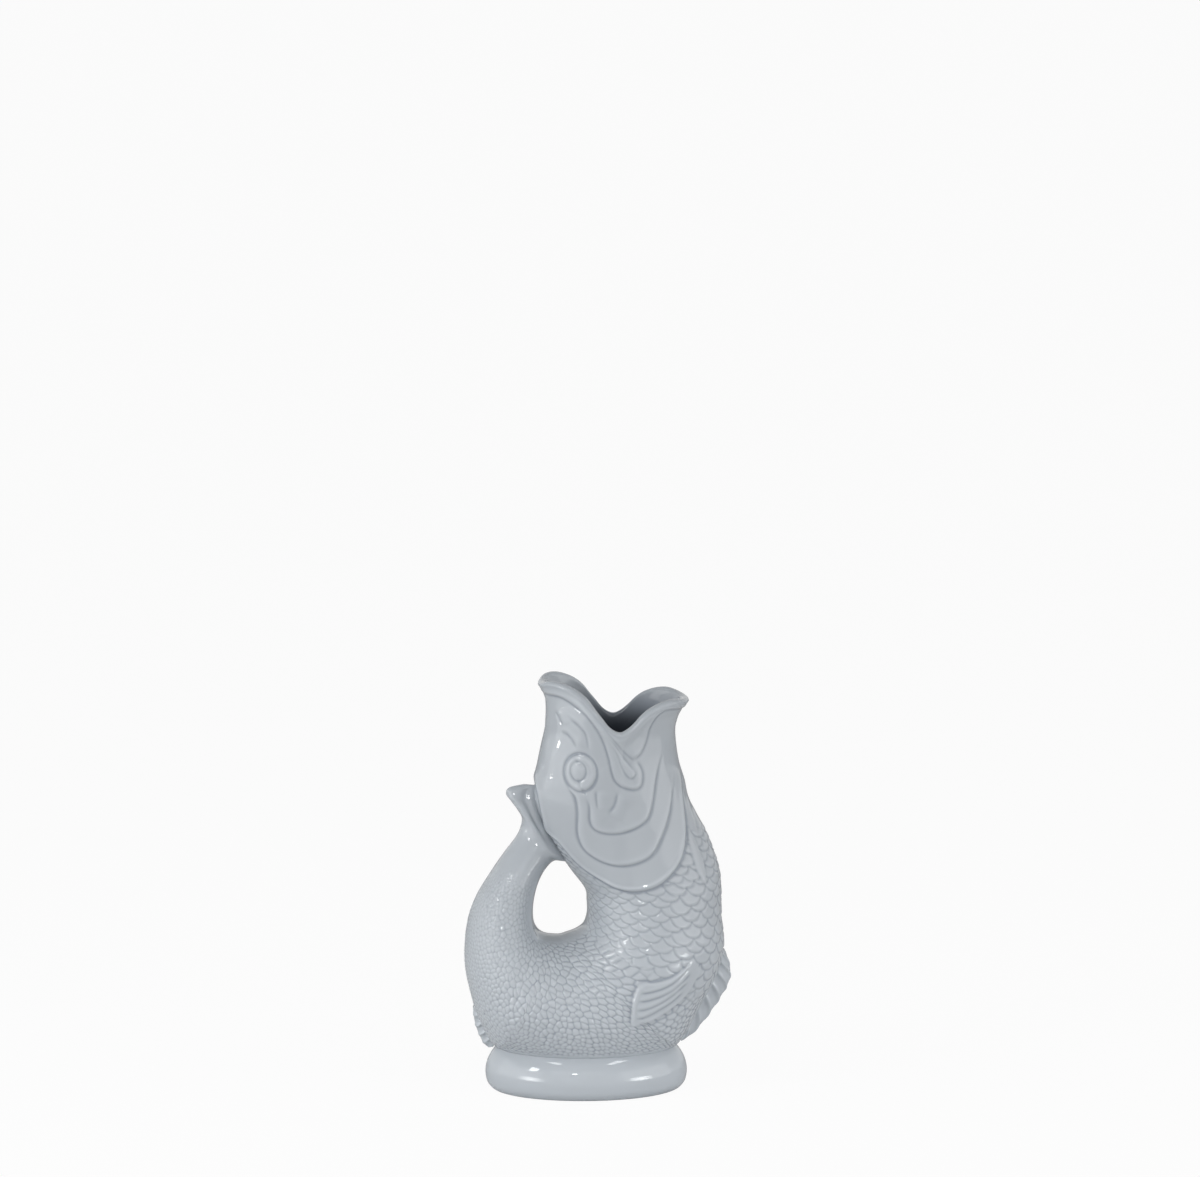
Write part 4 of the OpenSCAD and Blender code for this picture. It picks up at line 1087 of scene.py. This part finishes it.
def glazed_earthenware():
    """Slip-cast earthenware under one pale blue-grey glaze, dipped and fired. The glaze is glossy,
    thins to a paler tone on ridges and pools darker in grooves, and its surface is slightly uneven.
    Shade is painted into the grooves with the pool, and painted shade darkens it deep in the throat."""
    material = bpy.data.materials.new("glazed_earthenware")
    material.use_nodes = True
    tree = material.node_tree
    tree.nodes.clear()
    place = add_node(tree, "ShaderNodeTexCoord")
    # The pool attribute: glaze pooling with painted shade in the grooves, and painted shade deep in the
    # throat
    pool_and_shade = add_node(tree, "ShaderNodeAttribute", {"attribute_name": "pool_and_shade"})
    low, high = POOL_AND_SHADE_RANGE
    tone = add_node(tree, "ShaderNodeMapRange", {}, {"From Min": low, "From Max": high},
                    {"Value": (pool_and_shade, "Fac")})
    ramp = add_node(tree, "ShaderNodeValToRGB", {}, {}, {"Fac": (tone, "Result")})
    steps = ramp.color_ramp.elements
    steps[0].color, steps[1].color = linear(GLAZE_AND_SHADE_TONES[0][1]), linear(GLAZE_AND_SHADE_TONES[-1][1])
    for position, tone_hex in GLAZE_AND_SHADE_TONES[1:-1]:
        steps.new(position).color = linear(tone_hex)
    cloud = add_node(tree, "ShaderNodeTexNoise", {}, {"Scale": CLOUDS_PER_METRE, "Detail": 3.0},
                     {"Vector": (place, "Object")})
    shade = add_node(tree, "ShaderNodeMapRange", {}, {"To Min": 0.975, "To Max": 1.02},
                     {"Value": (cloud, "Fac")})
    colour = add_node(tree, "ShaderNodeVectorMath", {"operation": "SCALE"}, {},
                      {0: (ramp, "Color"), "Scale": (shade, "Result")})
    ripple = add_node(tree, "ShaderNodeTexNoise", {}, {"Scale": RIPPLES_PER_METRE, "Detail": 1.0},
                      {"Vector": (place, "Object")})
    bump = add_node(tree, "ShaderNodeBump", {}, {"Strength": 0.05, "Distance": RIPPLE_HEIGHT},
                    {"Height": (ripple, "Fac")})
    surface = add_node(tree, "ShaderNodeBsdfPrincipled", {}, {"Roughness": 0.045, "IOR": 1.5},
                       {"Base Color": (colour, "Vector"), "Normal": (bump, "Normal")})
    add_node(tree, "ShaderNodeOutputMaterial", {}, {}, {"Surface": (surface, "BSDF")})
    return material


# The studio: half the side of the floor in metres, how much of what the camera sees of it is plain
# white, the grey of its paper, and the light of the room at the horizon and overhead
FLOOR_HALF = 30
WHITE_SHARE = 0.95
PAPER = 0.72
ROOM_LOW, ROOM_HIGH, ROOM_HIGH_AT = 0.84, 0.16, 0.75


def white_floor():
    """A wide sheet of matt white paper, which the camera sees as nearly plain white."""
    mesh = bpy.data.meshes.new("floor")
    corners = [(-1, -1), (1, -1), (1, 1), (-1, 1)]
    mesh.from_pydata([(x * FLOOR_HALF, y * FLOOR_HALF, 0) for x, y in corners], [], [(0, 1, 2, 3)])
    floor = bpy.data.objects.new("floor", mesh)
    bpy.context.scene.collection.objects.link(floor)
    material = bpy.data.materials.new("matt_white_paper")
    material.use_nodes = True
    tree = material.node_tree
    tree.nodes.clear()
    path = add_node(tree, "ShaderNodeLightPath")
    part = add_node(tree, "ShaderNodeMath", {"operation": "MULTIPLY"}, {1: WHITE_SHARE},
                    {0: (path, "Is Camera Ray")})
    paper = add_node(tree, "ShaderNodeBsdfDiffuse", {}, {"Color": (PAPER, PAPER, PAPER, 1)})
    white = add_node(tree, "ShaderNodeEmission", {}, {"Color": (1, 1, 1, 1), "Strength": 1.0})
    both = add_node(tree, "ShaderNodeMixShader", {}, {}, {0: (part, 0), 1: (paper, 0), 2: (white, 0)})
    add_node(tree, "ShaderNodeOutputMaterial", {}, {}, {"Surface": (both, 0)})
    mesh.materials.append(material)


def white_room():
    """A white room that is darker overhead, and plain white where the camera sees it."""
    world = bpy.data.worlds.new("white_room")
    bpy.context.scene.world = world
    world.use_nodes = True
    tree = world.node_tree
    tree.nodes.clear()
    path = add_node(tree, "ShaderNodeLightPath")
    way = add_node(tree, "ShaderNodeTexCoord")
    split = add_node(tree, "ShaderNodeSeparateXYZ", {}, {}, {0: (way, "Generated")})
    level = add_node(tree, "ShaderNodeMapRange", {},
                     {"From Max": ROOM_HIGH_AT, "To Min": ROOM_LOW, "To Max": ROOM_HIGH},
                     {"Value": (split, "Z")})
    strength = add_node(tree, "ShaderNodeMapRange", {}, {"To Max": 1.0},
                        {"Value": (path, "Is Camera Ray"), "To Min": (level, "Result")})
    sky = add_node(tree, "ShaderNodeBackground", {}, {"Color": (1, 1, 1, 1)},
                   {"Strength": (strength, "Result")})
    add_node(tree, "ShaderNodeOutputWorld", {}, {}, {"Surface": (sky, 0)})


def lamps():
    """Soft boxes round the jug, each turned to a point above the origin."""
    for name, azimuth, elevation, distance, aim, spread, size, watts in LAMPS:
        lamp = bpy.data.lights.new(name, "AREA")
        lamp.shape = "RECTANGLE"
        lamp.size, lamp.size_y = size
        lamp.energy = watts
        lamp.spread = math.radians(spread)
        way = way_out(math.radians(azimuth), math.radians(elevation))
        thing = bpy.data.objects.new(name, lamp)
        thing.location = Vector((0, 0, aim)) + way * distance
        thing.rotation_euler = way.to_track_quat("Z", "Y").to_euler()
        bpy.context.scene.collection.objects.link(thing)


def way_out(azimuth, elevation):
    """Direction from the jug at an azimuth, 0 in front and rising to the right, and an elevation."""
    flat = math.cos(elevation)
    return Vector((math.sin(azimuth) * flat, -math.cos(azimuth) * flat, math.sin(elevation)))


# The camera: distance in metres, lens and sensor in millimetres, the photograph's size, and the
# pixel of it that shows the point at half the jug's height over the origin
EYE_DISTANCE = 4.0
LENS, SENSOR = 209.0, 36.0
PHOTO_SIZE_PX = (1200, 1177)
MIDDLE_PX = (598, 882)


def camera():
    """The photograph's view: the camera stands in front and a little above, looks over the jug, and
    keeps it low in the frame."""
    way = way_out(VIEW_AZIMUTH, VIEW_ELEVATION)
    data = bpy.data.cameras.new("camera")
    data.lens, data.sensor_width = LENS, SENSOR
    eye = bpy.data.objects.new("camera", data)
    turn = way.to_track_quat("Z", "Y").to_matrix()
    per_pixel = SENSOR / PHOTO_SIZE_PX[0] / LENS
    pitch = math.atan((MIDDLE_PX[1] - PHOTO_SIZE_PX[1] / 2) * per_pixel)
    yaw = math.atan((MIDDLE_PX[0] - PHOTO_SIZE_PX[0] / 2) * per_pixel)
    turn = turn @ Matrix.Rotation(pitch, 3, "X") @ Matrix.Rotation(yaw, 3, "Y")
    eye.location = Vector((0, 0, JUG_H / 2 * MM)) + way * EYE_DISTANCE
    eye.rotation_euler = turn.to_euler()
    bpy.context.scene.collection.objects.link(eye)
    bpy.context.scene.camera = eye
    bpy.context.scene.view_settings.view_transform = "Standard"


# Lamps: name, azimuth and elevation in degrees, distance and height of the aim in metres, spread in
# degrees, size in metres, and power in watts
LAMPS = [
    ["low_left", -53, 3, 0.5, 0.012, 34, (0.3, 0.1), 0.026],
    ["low_right", 50, 3, 0.5, 0.012, 34, (0.22, 0.09), 0.021],
    ["high_left", -57, 54, 1.3, 0.08, 180, (0.8, 0.1), 1.8],
    ["high_right", 54, 54, 1.3, 0.08, 180, (0.8, 0.1), 1.8],
    ["side_left", -55, 31, 1.2, 0.08, 180, (0.2, 0.22), 1.8],
    ["spark", -11, 26, 1.5, 0.08, 180, (0.1, 0.1), 1.0],
    ["side_spark", -93, 4, 0.9, 0.2, 20, (0.1, 0.035), 0.0024],
    ["front_sheet", -8, 30, 1.7, 0.12, 180, (1.4, 0.5), 1.4],
    ["wall_left", -75, 6, 1.0, 0.17, 180, (1.2, 0.7), 2.9],
    ["wall_right", 62, 6, 1.0, 0.17, 180, (1.2, 0.7), 2.9]]

jug = build_jug()
glaze = glazed_earthenware()
for piece in jug:
    piece.data.materials.append(glaze)
white_floor()
white_room()
lamps()
camera()
